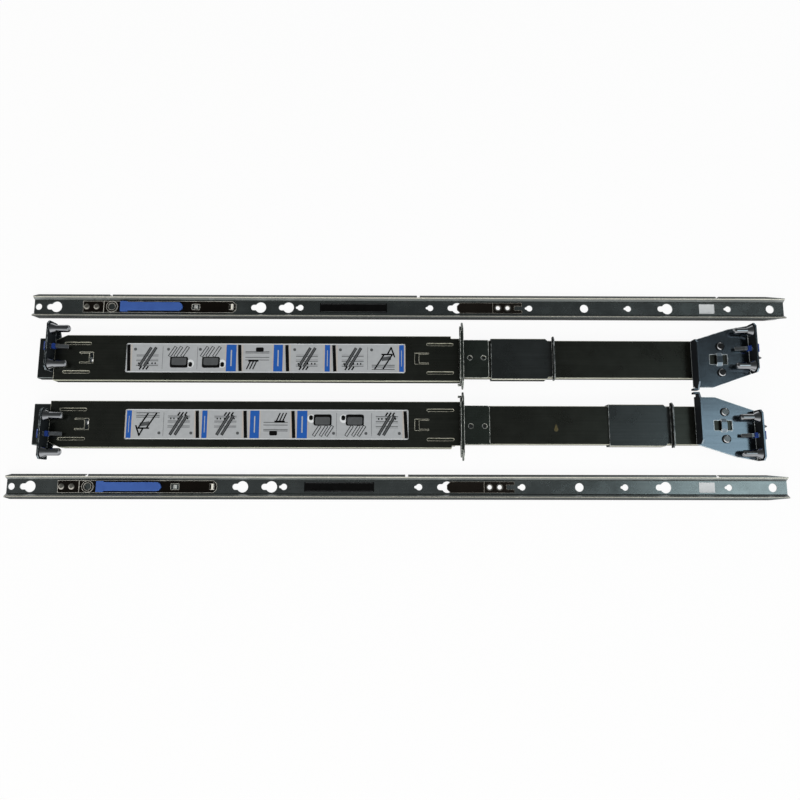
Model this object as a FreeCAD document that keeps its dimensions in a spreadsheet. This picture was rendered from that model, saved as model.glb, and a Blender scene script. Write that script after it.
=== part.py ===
import FreeCAD, Part
import os
import Sketcher

# Pair of telescoping server rails, laid out flat: two mirrored outer rails between two inner rails.
# Millimetres. X runs from the front of the rack to its rear, Z points away from the server's side,
# and the ground that the rails lie on is Z = 0.

doc = FreeCAD.newDocument("server_rails")

# Driving dimensions: name, value and what it measures.
SIZES = [
    ("flange_span", 624.5, "front flange face to rear flange face"),
    ("flange_mid", -1.75, "middle of that span, along X"),
    ("rail_gap", 2.9, "free space between the hooks of the two outer rails"),
    ("pair_shift", 2.35, "mirror plane of the outer rails, along Y"),
    ("inner_offset", 82.0, "inner rail centreline from the middle, along Y"),
    ("inner_shift", 5.35, "half the offset between the two inner rails, along X"),
    ("inner_end", 346.0, "middle of the inner rails' rear ends, along X"),
    ("slide_gap", 0.2, "running clearance between flat sliding faces"),
    ("seat_gap", 0.05, "clearance of a piece pushed over another"),
    ("cut_margin", 0.2, "how far a cut runs past the face it leaves"),
    ("inner_length", 692.0, "inner rail, end to end"),
    ("inner_height", 22.0, "inner rail, across its flanges"),
    ("inner_sheet", 1.0, "inner rail sheet"),
    ("inner_depth", 4.6, "inner rail, web to flange edge"),
    ("taper_length", 22.0, "lead-in at the rear end of the inner rail"),
    ("nose_length", 6.0, "lead-in at its front end"),
    ("lead_in", 1.7, "how much a lead-in narrows each edge"),
    ("web_height", 13.2, "flat web of the inner rail"),
    ("slope_run", 2.2, "sloped side of the inner rail's raceway, across the rail"),
    ("hem_rim", 0.5, "edge of the inner rail's raceway above the ground"),
    ("raceway_depth", 0.3, "ball groove depth"),
    ("raceway_width", 2.0, "ball groove width"),
    ("ball_play", 0.1, "clearance between a ball and its groove"),
    ("ball_count", 6, "balls in one row"),
    ("inner_ball", 2.6, "inner ball diameter"),
    ("inner_ball_level", 2.5, "inner ball centre above the ground"),
    ("outer_ball", 3.2, "outer ball diameter"),
    ("outer_ball_level", 3.4, "outer ball centre above the ground"),
    ("cage_sheet", 0.4, "ball cage sheet"),
    ("cage_hem", 0.7, "cage edge below its ball holes"),
    ("cage_end", 8.0, "cage end to its first ball"),
    ("outer_cage_length", 185.0, "outer ball cage"),
    ("outer_cage_stop", 5.0, "outer cage from the cabinet member's rear end"),
    ("inner_cage_length", 176.0, "inner ball cage"),
    ("inner_cage_stop", 4.0, "inner cage from the middle member's front end"),
    ("middle_sheet", 1.0, "middle member sheet"),
    ("middle_length", 560.0, "middle member"),
    ("middle_rim", 0.4, "middle member flange edge above the ground"),
    ("cabinet_sheet", 1.3, "cabinet member sheet"),
    ("cabinet_lead", 14.5, "cabinet member's front end ahead of the front flange face"),
    ("cabinet_inset", 5.0, "cabinet member's rear end inside the front section"),
    ("section_setback", 1.0, "front section's front end behind the front flange face"),
    ("section_length", 363.0, "front section"),
    ("section_height", 41.5, "front section, across its flanges"),
    ("section_sheet", 1.2, "front section sheet"),
    ("section_rim", 1.0, "front section flange edge above the ground"),
    ("section_relief", 8.4, "corner cut from the rear end, along the far edge"),
    ("relief_depth", 2.3, "corner cut from the rear end, across the rail"),
    ("section_corner", 10.5, "corner cut from the front end, along the far edge"),
    ("corner_depth", 5.0, "corner cut from the front end, across the rail"),
    ("bend_radius", 0.9, "outer radius of the folds"),
    ("bead_offset", 13.0, "stiffening bead from the centreline"),
    ("bead_width", 3.8, "stiffening bead"),
    ("bead_length", 25.5, "stiffening bead"),
    ("bead_margin", 7.3, "front beads from the front end of the front section"),
    ("rear_bead_margin", 5.5, "rear beads from its rear end"),
    ("bead_wall", 0.8, "sheet left under a bead"),
    ("lance_length", 12.2, "lanced window"),
    ("lance_width", 10.0, "lanced window"),
    ("lance_margin", 22.3, "front lanced window from the front end"),
    ("rear_lance_margin", 28.7, "rear lanced window from the rear end"),
    ("lance_tab", 8.0, "tab left standing in a lanced window"),
    ("lance_slot", 3.6, "open end of a lanced window"),
    ("access_hole", 3.8, "access hole under the front lanced window"),
    ("access_inset", 1.9, "access hole from the end of that window"),
    ("access_offset", 1.6, "access hole from the centreline"),
    ("bracket_sheet", 1.4, "front and rear bracket sheet"),
    ("bracket_reach", 54.0, "front bracket base behind the front flange face"),
    ("bracket_shoulder", 5.0, "front bracket's wide part behind the front flange face"),
    ("gusset_rise", 26.4, "far edge of the front bracket's base at the flange"),
    ("gusset_run", 3.0, "that edge along the rail"),
    ("flange_height", 44.5, "one-unit flange"),
    ("flange_top", 24.0, "one-unit flange edge above the ground"),
    ("flange_corner", 3.0, "cut corners of the flanges"),
    ("pin_spacing", 31.75, "rack hole spacing between the two pins"),
    ("pin_middle", 9.125, "middle of the pins from the rail's centreline"),
    ("pin_clear", 0.55, "pin cone above the rear bracket plate"),
    ("pin_diameter", 6.6, "shank of the front pins"),
    ("rear_pin_diameter", 5.8, "shank of the rear pins"),
    ("pin_length", 16.0, "pin, from the flange face"),
    ("pin_shoulder", 10.4, "pin cone at the flange"),
    ("pin_cone", 4.2, "length of that cone"),
    ("pin_tip", 2.4, "rounded tip"),
    ("pin_stem", 5.0, "pin stem in the flange"),
    ("pin_head", 7.2, "riveted head of the pin"),
    ("head_height", 0.8, "riveted head of the pin"),
    ("latch_width", 3.0, "latch hook"),
    ("latch_reach", 14.5, "latch hook behind the flange face"),
    ("latch_clear", 1.85, "underside of the latch arm above the rear bracket plate"),
    ("latch_bar", 3.0, "latch arm"),
    ("latch_tooth", 2.2, "tooth above the latch arm"),
    ("latch_throat", 5.0, "flange face to tooth"),
    ("latch_stub", 1.4, "latch stub above its arm, in the button"),
    ("latch_slot_play", 0.8, "slot above and below the latch"),
    ("pivot_offset", 1.8, "latch pivot from the flange"),
    ("pivot_drop", 1.4, "latch pivot below the latch arm"),
    ("pivot_diameter", 1.6, "latch pivot pin"),
    ("pivot_play", 0.05, "radial clearance of the latch on its pin"),
    ("ear_sheet", 1.0, "latch ear"),
    ("ear_play", 0.3, "clearance between the latch and its ears"),
    ("pivot_proud", 0.5, "pin end past the ear"),
    ("button_width", 7.5, "blue button"),
    ("button_height", 6.0, "blue button"),
    ("button_depth", 3.0, "blue button"),
    ("button_gap", 1.2, "button from the flange"),
    ("button_round", 0.9, "button edge"),
    ("catch_gap", 1.1, "blue catch behind the flange face"),
    ("catch_length", 2.6, "blue catch on the latch arm"),
    ("catch_width", 4.4, "blue catch on the latch arm"),
    ("catch_height", 1.9, "blue catch on the latch arm"),
    ("tongue_width", 20.0, "extension tongue"),
    ("tongue_clear", 14.0, "tongue tip from the front bracket's base"),
    ("extension_sheet", 1.1, "rear extension sheet"),
    ("extension_height", 34.6, "rear extension, across its flanges"),
    ("extension_rim", 2.5, "rear extension flange edge above the ground"),
    ("extension_inset", 16.0, "rear extension's end from the rear flange face"),
    ("mid_gap", 0.4, "front section's end to the mid flange"),
    ("mid_sheet", 1.5, "mid plate sheet"),
    ("mid_length", 25.0, "mid plate"),
    ("mid_height", 34.6, "mid plate"),
    ("mid_corner", 3.0, "cut corners of the tongue and the springs"),
    ("plate_round", 1.6, "cut near corner of the mid plate"),
    ("hook_reach", 3.4, "small hooks at the near end of the mid and rear brackets' flanges"),
    ("hook_inset", 3.0, "the mid flange's hook from its wing's end"),
    ("hook_thick", 1.6, "small hooks"),
    ("hem_gap", 0.3, "hem of the mid flange above the front section"),
    ("hem_drop", 3.0, "hem's ends inside the wings' ends"),
    ("mid_flange_top", 22.0, "mid flange edge above the ground"),
    ("mid_wing_level", 13.0, "underside of the mid flange's wings"),
    ("mid_wing_reach", 31.9, "far wing from the centreline"),
    ("mid_hook_reach", 28.4, "near wing from the centreline"),
    ("mid_hole_pitch", 12.2, "two threaded holes of the mid plate"),
    ("mid_hole", 4.2, "threaded hole of the mid plate"),
    ("mid_hole_start", 8.2, "first hole from the mid flange"),
    ("mid_hole_offset", 1.0, "holes from the centreline"),
    ("wing_hole", 4.0, "hole in each wing of the mid flange"),
    ("collar_length", 50.7, "sliding collar"),
    ("collar_height", 37.4, "sliding collar"),
    ("collar_sheet", 1.2, "sliding collar sheet"),
    ("collar_corner", 2.0, "cut corners of the sliding collar"),
    ("collar_lip", 4.4, "lip under the extension's flange"),
    ("collar_rest", 2.3, "right collar from the mid plate"),
    ("collar_back", 21.5, "left collar's flange from the rear bracket"),
    ("collar_tail", 4.2, "collar's end to its standing flange"),
    ("collar_flange_height", 40.0, "collar's standing flange"),
    ("collar_flange_top", 17.0, "collar's standing flange above the ground"),
    ("collar_flange_sheet", 1.0, "collar's standing flange"),
    ("rear_plate", 52.0, "rear bracket plate"),
    ("rear_near", 25.5, "rear bracket's near edge from the centreline"),
    ("rear_far", 17.0, "rear bracket's far edge at its front end"),
    ("rear_near_run", 18.0, "straight stretch of the near edge"),
    ("rear_far_run", 34.5, "far edge up to its bend"),
    ("rear_far_bend", 28.0, "far edge at its bend"),
    ("rear_hook", 3.5, "hook of the rear bracket's front flange"),
    ("rear_flange_top", 22.0, "rear bracket's front flange above the ground"),
    ("window_start", 16.0, "rear bracket window from its front end"),
    ("window_length", 16.0, "rear bracket window"),
    ("window_width", 9.0, "rear bracket window"),
    ("strap_start", 6.0, "bridge strap from the window's front edge"),
    ("strap_width", 5.0, "bridge strap"),
    ("strap_rise", 1.7, "bridge strap above the rear bracket plate"),
    ("strap_sheet", 0.8, "bridge strap"),
    ("strap_foot", 1.6, "bridge strap on the plate beside the window"),
    ("screw_start", 26.0, "rear screws from the bracket's front end"),
    ("screw_pitch", 24.0, "rear screws, across the rail"),
    ("screw_head", 7.5, "rear screw head"),
    ("screw_head_height", 2.0, "rear screw head"),
    ("screw_shank", 4.0, "rear screw shank"),
    ("screw_play", 0.1, "radial clearance of the screw holes"),
    ("screw_past", 0.6, "screw end past the extension's web"),
    ("stud_offset", 1.0, "stud from the rail's centreline"),
    ("stud_level", 14.0, "stud axis above the ground"),
    ("stud_diameter", 2.0, "stud"),
    ("stud_length", 7.6, "stud"),
    ("stud_point", 4.2, "cone at the end of the stud"),
    ("stud_cone", 5.2, "cone at the end of the stud"),
    ("stud_tip", 1.0, "tip of that cone"),
    ("key_head", 10.0, "keyhole head"),
    ("key_neck", 5.3, "keyhole neck"),
    ("key_reach", 8.9, "keyhole head centre to the neck's end"),
    ("drop_head", 5.6, "teardrop hole"),
    ("drop_neck", 2.4, "teardrop tip"),
    ("drop_reach", 4.2, "teardrop centre to its tip"),
    ("key_first", 20.3, "first keyhole from the front end"),
    ("key_second", 207.9, "second keyhole from the front end"),
    ("key_third", 233.5, "third keyhole from the front end"),
    ("key_fourth", 302.7, "fourth keyhole from the rear end"),
    ("key_fifth", 108.2, "fifth keyhole from the rear end"),
    ("drop_first", 244.5, "first teardrop hole from the front end"),
    ("drop_second", 327.7, "second teardrop hole from the rear end"),
    ("drop_third", 236.0, "third teardrop hole from the rear end"),
    ("drop_fourth", 144.4, "fourth teardrop hole from the rear end"),
    ("drop_fifth", 51.6, "fifth teardrop hole from the rear end"),
    ("notch_first", 70.0, "first notch from the front end"),
    ("notch_second", 340.0, "second notch from the rear end"),
    ("notch_third", 64.0, "third notch from the rear end"),
    ("end_hole", 5.9, "hole at the inner rail's front end"),
    ("end_hole_place", 4.0, "that hole from the front end"),
    ("fix_hole", 7.6, "round fixing holes"),
    ("fix_hole_place", 185.2, "first round fixing hole from the rear end"),
    ("fix_hole_pitch", 172.6, "between the round fixing holes"),
    ("notch_length", 2.6, "notch in the far flange"),
    ("notch_depth", 2.0, "notch in the far flange"),
    ("strip_start", 45.0, "release spring from the front end"),
    ("strip_bend", 64.0, "bend line of the release spring"),
    ("strip_end", 185.5, "end of the release spring"),
    ("strip_width", 10.8, "release spring"),
    ("strip_sheet", 0.7, "release spring sheet"),
    ("arm_gap", 0.1, "spring's free part above the web"),
    ("ring_place", 71.7, "pressed ring of the release spring"),
    ("ring_outer", 10.2, "pressed ring"),
    ("ring_inner", 6.4, "pressed ring"),
    ("ring_height", 0.9, "pressed ring"),
    ("arm_window_place", 145.0, "window of the release spring"),
    ("arm_window_length", 7.0, "window of the release spring"),
    ("arm_window_width", 5.0, "window of the release spring"),
    ("pawl_place", 179.0, "pawl of the release spring"),
    ("pawl_length", 4.0, "pawl"),
    ("pawl_width", 5.0, "pawl"),
    ("pawl_height", 2.4, "pawl"),
    ("tab_start", 80.0, "blue tab from the front end"),
    ("tab_length", 56.5, "blue tab"),
    ("tab_width", 7.6, "blue tab"),
    ("tab_head", 6.0, "wide head of the blue tab"),
    ("tab_head_width", 9.4, "wide head of the blue tab"),
    ("tab_height", 2.4, "blue tab"),
    ("tab_play", 0.1, "blue tab above the spring"),
    ("tab_travel", 5.0, "how far the blue tab slides"),
    ("tab_stem", 12.0, "stem of the tab in the spring's slot"),
    ("tab_stem_width", 2.6, "stem of the tab"),
    ("tab_stem_place", 20.0, "stem from the tab's front end"),
    ("tab_stem_play", 0.2, "stem in its slot"),
    ("leaf_start", 303.0, "lock leaf's free end from the rear end"),
    ("leaf_bend", 270.0, "lock leaf's bend line from the rear end"),
    ("leaf_end", 243.0, "lock leaf's riveted end from the rear end"),
    ("leaf_width", 9.8, "lock leaf"),
    ("leaf_sheet", 0.6, "lock leaf sheet"),
    ("eyelet_bore", 3.9, "open bore of the lock leaf's eyelets"),
    ("eyelet_shank", 4.7, "eyelet in the web"),
    ("eyelet_head", 6.2, "eyelet's rolled head"),
    ("eyelet_height", 0.6, "eyelet's rolled head"),
    ("leaf_slot", 7.0, "open slot in the riveted end"),
    ("leaf_slot_width", 4.0, "open slot in the riveted end"),
    ("bend_clearance", 0.1, "clearance at a bend line"),
    ("rivet_head", 5.2, "rivet head"),
    ("rivet_height", 1.1, "rivet head"),
    ("rivet_shank", 3.0, "rivet shank"),
    ("rivet_play", 0.03, "radial clearance of the rivet holes"),
    ("strip_rivet", 48.6, "first rivet of the release spring"),
    ("leaf_rivet", 265.2, "first eyelet of the lock leaf from the rear end"),
    ("rivet_pitch", 8.9, "between the two rivets of a spring"),
]

sheet = doc.addObject("Spreadsheet::Sheet", "Sizes")
for row, (alias, number, note) in enumerate(SIZES, start=1):
    sheet.set(f"A{row}", note)
    sheet.set(f"B{row}", str(number))
    sheet.setAlias(f"B{row}", alias)
doc.recompute()


class Dim:
    """A length, kept with the formula that ties it to the sheet."""

    def __init__(self, text, number):
        self.text = text
        self.number = number

    def __add__(self, other):
        return Dim(f"({self.text} + {as_text(other)})", self.number + as_number(other))

    def __sub__(self, other):
        return Dim(f"({self.text} - {as_text(other)})", self.number - as_number(other))

    def __mul__(self, factor):
        return Dim(f"({self.text} * {as_text(factor)})", self.number * as_number(factor))

    def __truediv__(self, divisor):
        return Dim(f"({self.text} / {as_text(divisor)})", self.number / as_number(divisor))

    def __neg__(self):
        return Dim(f"(0 - {self.text})", -self.number)


def as_text(size):
    return size.text if isinstance(size, Dim) else str(float(size))


def as_number(size):
    return size.number if isinstance(size, Dim) else float(size)


class Sizes:
    """The sheet's cells as lengths: size.inner_length and so on."""


size = Sizes()
for alias, number, note in SIZES:
    setattr(size, alias, Dim(f"Sizes.{alias}", float(sheet.get(alias))))
ZERO = Dim("0", 0.0)


def bind(thing, **formulas):
    """Ties properties of an object to lengths; a double underscore stands for a dot."""
    for name, length in formulas.items():
        thing.setExpression(name.replace("__", "."), as_text(length))


def new_body(name):
    body = doc.addObject("PartDesign::Body", name)
    body.Label = name
    return body


def origin_part(body, role):
    return next(part for part in body.Origin.OriginFeatures if part.Role == role)


def sketch_on(body, role, offset=ZERO, across=ZERO, up=ZERO):
    """A sketch parallel to one of the body's own planes, with its origin moved there."""
    sketch = body.newObject("Sketcher::SketchObject", "sketch")
    sketch.AttachmentSupport = [(origin_part(body, role), "")]
    sketch.MapMode = "FlatFace"
    bind(sketch, AttachmentOffset__Base__x=across, AttachmentOffset__Base__y=up,
         AttachmentOffset__Base__z=offset)
    return sketch


def tie(sketch, kind, curve, point, length):
    """Holds one coordinate of a point of a curve at a length from the sketch's origin."""
    place = sketch.addConstraint(Sketcher.Constraint(kind, -1, 1, curve, point, as_number(length)))
    sketch.setExpression(f"Constraints[{place}]", as_text(length))


def tie_radius(sketch, curve, radius):
    place = sketch.addConstraint(Sketcher.Constraint("Radius", curve, as_number(radius)))
    sketch.setExpression(f"Constraints[{place}]", as_text(radius))


def point_at(across, up):
    return FreeCAD.Vector(as_number(across), as_number(up), 0)


def polygon(sketch, corners):
    first = sketch.GeometryCount
    count = len(corners)
    for index, corner in enumerate(corners):
        following = corners[(index + 1) % count]
        sketch.addGeometry(Part.LineSegment(point_at(*corner), point_at(*following)), False)
    for index, (across, up) in enumerate(corners):
        line = first + index
        sketch.addConstraint(Sketcher.Constraint("Coincident", line, 2, first + (index + 1) % count, 1))
        tie(sketch, "DistanceX", line, 1, across)
        tie(sketch, "DistanceY", line, 1, up)


def rectangle(sketch, low_across, high_across, low_up, high_up):
    polygon(sketch, [(low_across, low_up), (high_across, low_up), (high_across, high_up),
                     (low_across, high_up)])


def circle(sketch, across, up, diameter):
    normal = FreeCAD.Vector(0, 0, 1)
    curve = sketch.addGeometry(Part.Circle(point_at(across, up), normal, as_number(diameter) / 2), False)
    tie(sketch, "DistanceX", curve, 3, across)
    tie(sketch, "DistanceY", curve, 3, up)
    tie_radius(sketch, curve, diameter / 2)


def arc(sketch, across, up, radius, start, end):
    """An arc between two points, taken counter-clockwise round its centre."""
    normal = FreeCAD.Vector(0, 0, 1)
    whole = Part.Circle(point_at(across, up), normal, as_number(radius))
    curve = sketch.addGeometry(Part.ArcOfCircle(whole, whole.parameter(start), whole.parameter(end)), False)
    tie(sketch, "DistanceX", curve, 3, across)
    tie(sketch, "DistanceY", curve, 3, up)
    tie_radius(sketch, curve, radius)
    return curve


def keyhole(sketch, head, neck_end, up, head_diameter, neck_width):
    """A round head with a narrower round-ended neck that runs to lower X."""
    head_radius = as_number(head_diameter) / 2
    half = as_number(neck_width) / 2
    throat = as_number(head) - (head_radius ** 2 - half ** 2) ** 0.5
    neck = neck_end + neck_width / 2
    low = as_number(up) - half
    high = as_number(up) + half
    throat_low = FreeCAD.Vector(throat, low, 0)
    throat_high = FreeCAD.Vector(throat, high, 0)
    neck_low = FreeCAD.Vector(as_number(neck), low, 0)
    neck_high = FreeCAD.Vector(as_number(neck), high, 0)
    round_head = arc(sketch, head, up, head_diameter / 2, throat_low, throat_high)
    top = sketch.addGeometry(Part.LineSegment(throat_high, neck_high), False)
    round_neck = arc(sketch, neck, up, neck_width / 2, neck_high, neck_low)
    bottom = sketch.addGeometry(Part.LineSegment(neck_low, throat_low), False)
    loop = [round_head, top, round_neck, bottom]
    for index, curve in enumerate(loop):
        sketch.addConstraint(Sketcher.Constraint("Coincident", curve, 2, loop[(index + 1) % 4], 1))
    sketch.addConstraint(Sketcher.Constraint("Horizontal", top))
    sketch.addConstraint(Sketcher.Constraint("Horizontal", bottom))
    tie(sketch, "DistanceX", round_neck, 1, neck)
    tie(sketch, "DistanceX", round_neck, 2, neck)


def stadium(sketch, start, end, up, width):
    """A slot with two round ends along X."""
    half = as_number(width) / 2
    left = start + width / 2
    right = end - width / 2
    corners = [(as_number(x), as_number(up) + side * half) for x, side in
               ((left, -1), (right, -1), (right, 1), (left, 1))]
    low_left, low_right, high_right, high_left = [FreeCAD.Vector(x, y, 0) for x, y in corners]
    bottom = sketch.addGeometry(Part.LineSegment(low_left, low_right), False)
    right_end = arc(sketch, right, up, width / 2, low_right, high_right)
    top = sketch.addGeometry(Part.LineSegment(high_right, high_left), False)
    left_end = arc(sketch, left, up, width / 2, high_left, low_left)
    loop = [bottom, right_end, top, left_end]
    for index, curve in enumerate(loop):
        sketch.addConstraint(Sketcher.Constraint("Coincident", curve, 2, loop[(index + 1) % 4], 1))
    for curve, place in ((right_end, right), (left_end, left)):
        tie(sketch, "DistanceX", curve, 1, place)
        tie(sketch, "DistanceX", curve, 2, place)


def pad(body, sketch, length, reverse=False, both_ways=False):
    feature = body.newObject("PartDesign::Pad", "pad")
    feature.Profile = sketch
    feature.Reversed = reverse
    feature.Midplane = both_ways
    bind(feature, Length=length)
    return feature


def pocket(body, sketch, depth, reverse=False, both_ways=False):
    """A cut that has to take material away."""
    doc.recompute()
    before = body.Shape.Volume
    feature = body.newObject("PartDesign::Pocket", "pocket")
    feature.Profile = sketch
    feature.Reversed = reverse
    feature.Midplane = both_ways
    bind(feature, Length=depth)
    doc.recompute()
    if body.Shape.Volume >= before:
        raise RuntimeError(f"a cut in {body.Label} takes nothing away")
    return feature


def revolve(body, sketch, axis):
    feature = body.newObject("PartDesign::Revolution", "revolution")
    feature.Profile = sketch
    feature.ReferenceAxis = (sketch, [axis])
    feature.Angle = 360
    return feature


def repeat(body, features, role, length, count):
    """A row of copies along one of the body's axes, over a length from first to last."""
    feature = body.newObject("PartDesign::LinearPattern", "row")
    feature.Originals = features
    feature.Direction = (origin_part(body, role), [""])
    bind(feature, Length=length, Occurrences=count)
    body.Tip = feature
    return feature


def round_edges(body, feature, radius, chosen):
    """Rounds the edges that the test picks out."""
    doc.recompute()
    names = [f"Edge{index}" for index, edge in enumerate(feature.Shape.Edges, start=1) if chosen(edge)]
    if not names:
        raise RuntimeError(f"no edge to round in {body.Label}")
    fillet = body.newObject("PartDesign::Fillet", "round")
    fillet.Base = (feature, names)
    bind(fillet, Radius=radius)
    return fillet


def close(first, second):
    return abs(first - second) < 1e-4


def fold_edge(half, floor):
    """Picks the two outer fold edges of a channel."""
    def chosen(edge):
        box = edge.BoundBox
        level = close(box.ZMin, as_number(floor)) and close(box.ZMax, as_number(floor))
        side = close(box.YMin, box.YMax) and close(abs(box.YMin), as_number(half))
        return level and side
    return chosen


def raceway(face, depth, level, width):
    """Shallow groove in a flange face, from its lower edge to its upper one."""
    bottom = face - depth
    return [(face, level - width / 2), (bottom, level - width / 4),
            (bottom, level + width / 4), (face, level + width / 2)]


def channel(body, start, length, half, sheet_size, floor, rim, outer_level=None, inner_level=None):
    """A folded channel along X. Its web is at floor and its flanges run to rim, up or down.

    A level gives the flanges ball grooves there, on their outer or inner faces.
    """
    upward = as_number(rim) > as_number(floor)
    inner_floor = floor + sheet_size if upward else floor - sheet_size
    inner_half = half - sheet_size
    outer_groove = []
    inner_groove = []
    if outer_level is not None:
        outer_groove = raceway(half, size.raceway_depth, outer_level, size.raceway_width)
    if inner_level is not None:
        inner_groove = raceway(inner_half, -size.raceway_depth, inner_level, size.raceway_width)
    if upward:
        inner_groove = inner_groove[::-1]
    else:
        outer_groove = outer_groove[::-1]
    side = [(half, floor)] + outer_groove + [(half, rim), (inner_half, rim)] + inner_groove
    side.append((inner_half, inner_floor))
    sketch = sketch_on(body, "YZ_Plane", start)
    polygon(sketch, side + [(-across, up) for across, up in reversed(side)])
    feature = pad(body, sketch, length)
    return round_edges(body, feature, size.bend_radius, fold_edge(half, floor))


# Levels of the stacked sheets, from the ground up.
inner_cage_floor = size.inner_depth + size.slide_gap
inner_cage_top = inner_cage_floor + size.cage_sheet
middle_top = inner_cage_top + size.slide_gap + size.middle_sheet
outer_cage_top = middle_top + size.slide_gap + size.cage_sheet
cabinet_top = outer_cage_top + size.slide_gap + size.cabinet_sheet
section_floor = cabinet_top + size.bracket_sheet
section_top = section_floor + size.section_sheet
extension_floor = cabinet_top + (size.bracket_sheet - size.extension_sheet) / 2
extension_top = extension_floor + size.extension_sheet
rear_top = extension_top + size.bracket_sheet
pin_level = rear_top + size.pin_clear + size.pin_shoulder / 2
latch_level = rear_top + size.latch_clear
pivot_level = latch_level - size.pivot_drop

# Half widths of the nested channels, from the inner rail outwards.
inner_half = size.inner_height / 2
inner_ball_space = size.inner_ball + size.ball_play * 2 - size.raceway_depth * 2
middle_half = inner_half + inner_ball_space + size.middle_sheet
outer_ball_space = size.outer_ball + size.ball_play * 2 - size.raceway_depth * 2
cabinet_half = middle_half + outer_ball_space + size.cabinet_sheet
section_half = size.section_height / 2
extension_half = size.extension_height / 2

# Places along X.
front_face = size.flange_mid - size.flange_span / 2
rear_face = size.flange_mid + size.flange_span / 2
cabinet_front = front_face - size.cabinet_lead
section_front = front_face + size.section_setback
section_rear = section_front + size.section_length
cabinet_rear = section_rear - size.cabinet_inset
mid_front = section_rear + size.mid_gap
mid_rear = mid_front + size.mid_length
rear_front = rear_face - size.rear_plate
screw_place = rear_front + size.screw_start
extension_end = rear_face - size.extension_inset
access_place = section_front + size.lance_margin + size.lance_length - size.access_inset

# The rail's centreline, with the hooks of both rails clear of the mirror plane.
rail_offset = size.mid_hook_reach + size.rail_gap / 2
flange_low = size.pin_middle - size.flange_height / 2
flange_high = size.pin_middle + size.flange_height / 2

nodes = {}


def keep(name, thing):
    """Names a finished sub-part."""
    thing.Label = name
    nodes[name] = thing


def place_right(body):
    """Puts a sub-part of the right outer rail on its centreline."""
    bind(body, Placement__Base__y=rail_offset + size.pair_shift)


def mirror_left(name, source):
    """The same sub-part of the left outer rail, as a mirror image."""
    image = doc.addObject("Part::Mirroring", name)
    image.Source = source
    image.Normal = FreeCAD.Vector(0, 1, 0)
    bind(image, Base__y=size.pair_shift)
    keep(name, image)


def keep_pair(name, body):
    place_right(body)
    keep(f"right_{name}", body)
    mirror_left(f"left_{name}", body)


def add_access_hole(body, top, depth):
    """The access hole under the front lanced window, through one sheet of the stack."""
    hole = sketch_on(body, "XY_Plane", top)
    circle(hole, access_place, -size.access_offset, size.access_hole)
    pocket(body, hole, depth + size.cut_margin)


# Front section: folded cover channel with pressed beads that seat on the cabinet member,
# a lanced window near each end and cut far corners.
def make_front_section():
    body = new_body("front_section")
    channel(body, section_front, size.section_length, section_half, size.section_sheet, section_top,
            size.section_rim)
    front_bead = section_front + size.bead_margin
    rear_bead = section_rear - size.rear_bead_margin
    bead_ends = [(front_bead, front_bead + size.bead_length), (rear_bead - size.bead_length, rear_bead)]
    bumps = sketch_on(body, "XY_Plane", section_floor)
    dishes = sketch_on(body, "XY_Plane", section_top)
    for start, end in bead_ends:
        for side in (-1, 1):
            stadium(bumps, start, end, size.bead_offset * side, size.bead_width)
            stadium(dishes, start + size.bead_wall, end - size.bead_wall, size.bead_offset * side,
                    size.bead_width - size.bead_wall * 2)
    pad(body, bumps, section_floor - cabinet_top, reverse=True)
    pocket(body, dishes, section_top - cabinet_top - size.bead_wall)
    windows = sketch_on(body, "XY_Plane", section_top)
    half = size.lance_width / 2
    tab = size.lance_tab / 2
    front_root = section_front + size.lance_margin
    rear_root = section_rear - size.rear_lance_margin
    for root, free, tip in ((front_root, front_root + size.lance_length, -1),
                            (rear_root, rear_root - size.lance_length, 1)):
        tab_end = free + size.lance_slot * tip
        polygon(windows, [(root, -half), (free, -half), (free, half), (root, half), (root, tab),
                          (tab_end, tab), (tab_end, -tab), (root, -tab)])
    pocket(body, windows, size.section_sheet + size.cut_margin)
    corners = sketch_on(body, "XY_Plane", section_top)
    edge = section_half + size.cut_margin
    rectangle(corners, section_rear - size.section_relief, section_rear + size.cut_margin,
              section_half - size.relief_depth, edge)
    polygon(corners, [(section_front - size.cut_margin, section_half - size.corner_depth),
                      (section_front + size.section_corner, section_half),
                      (section_front + size.section_corner, edge), (section_front - size.cut_margin, edge)])
    pocket(body, corners, section_top)
    keep_pair("front_section", body)


# Latch seat of a flange: two ears outside it, a slot through it and the riveted pins' holes.
# Out is -1 at the front flange and 1 at the rear one.
def add_latch_seat(body, face, out):
    outer = face + size.bracket_sheet * out
    ear_half = size.latch_width / 2 + size.ear_play
    ear_end = outer + (size.pivot_offset + size.pivot_diameter) * out
    ear_low = pivot_level - size.pivot_diameter
    ear_high = pivot_level + size.pivot_diameter
    for start in (-size.pin_middle - ear_half - size.ear_sheet, -size.pin_middle + ear_half):
        ear = sketch_on(body, "XZ_Plane", start)
        polygon(ear, [(outer, ear_low), (ear_end, ear_low), (ear_end, pivot_level), (outer, ear_high)])
        pad(body, ear, size.ear_sheet)
    eye = sketch_on(body, "XZ_Plane", -size.pin_middle)
    circle(eye, outer + size.pivot_offset * out, pivot_level, size.pivot_diameter + size.seat_gap)
    pocket(body, eye, (ear_half + size.ear_sheet + size.cut_margin) * 2, both_ways=True)
    cut_start = outer if out < 0 else face
    slot = sketch_on(body, "YZ_Plane", cut_start)
    slot_half = size.latch_width / 2 + size.ear_play
    rectangle(slot, size.pin_middle - slot_half, size.pin_middle + slot_half,
              latch_level - size.latch_slot_play,
              latch_level + size.latch_bar + size.latch_tooth + size.latch_slot_play)
    for side in (-1, 1):
        circle(slot, size.pin_middle + size.pin_spacing / 2 * side, pin_level, size.pin_stem + size.seat_gap)
    pocket(body, slot, size.bracket_sheet, reverse=True)


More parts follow.
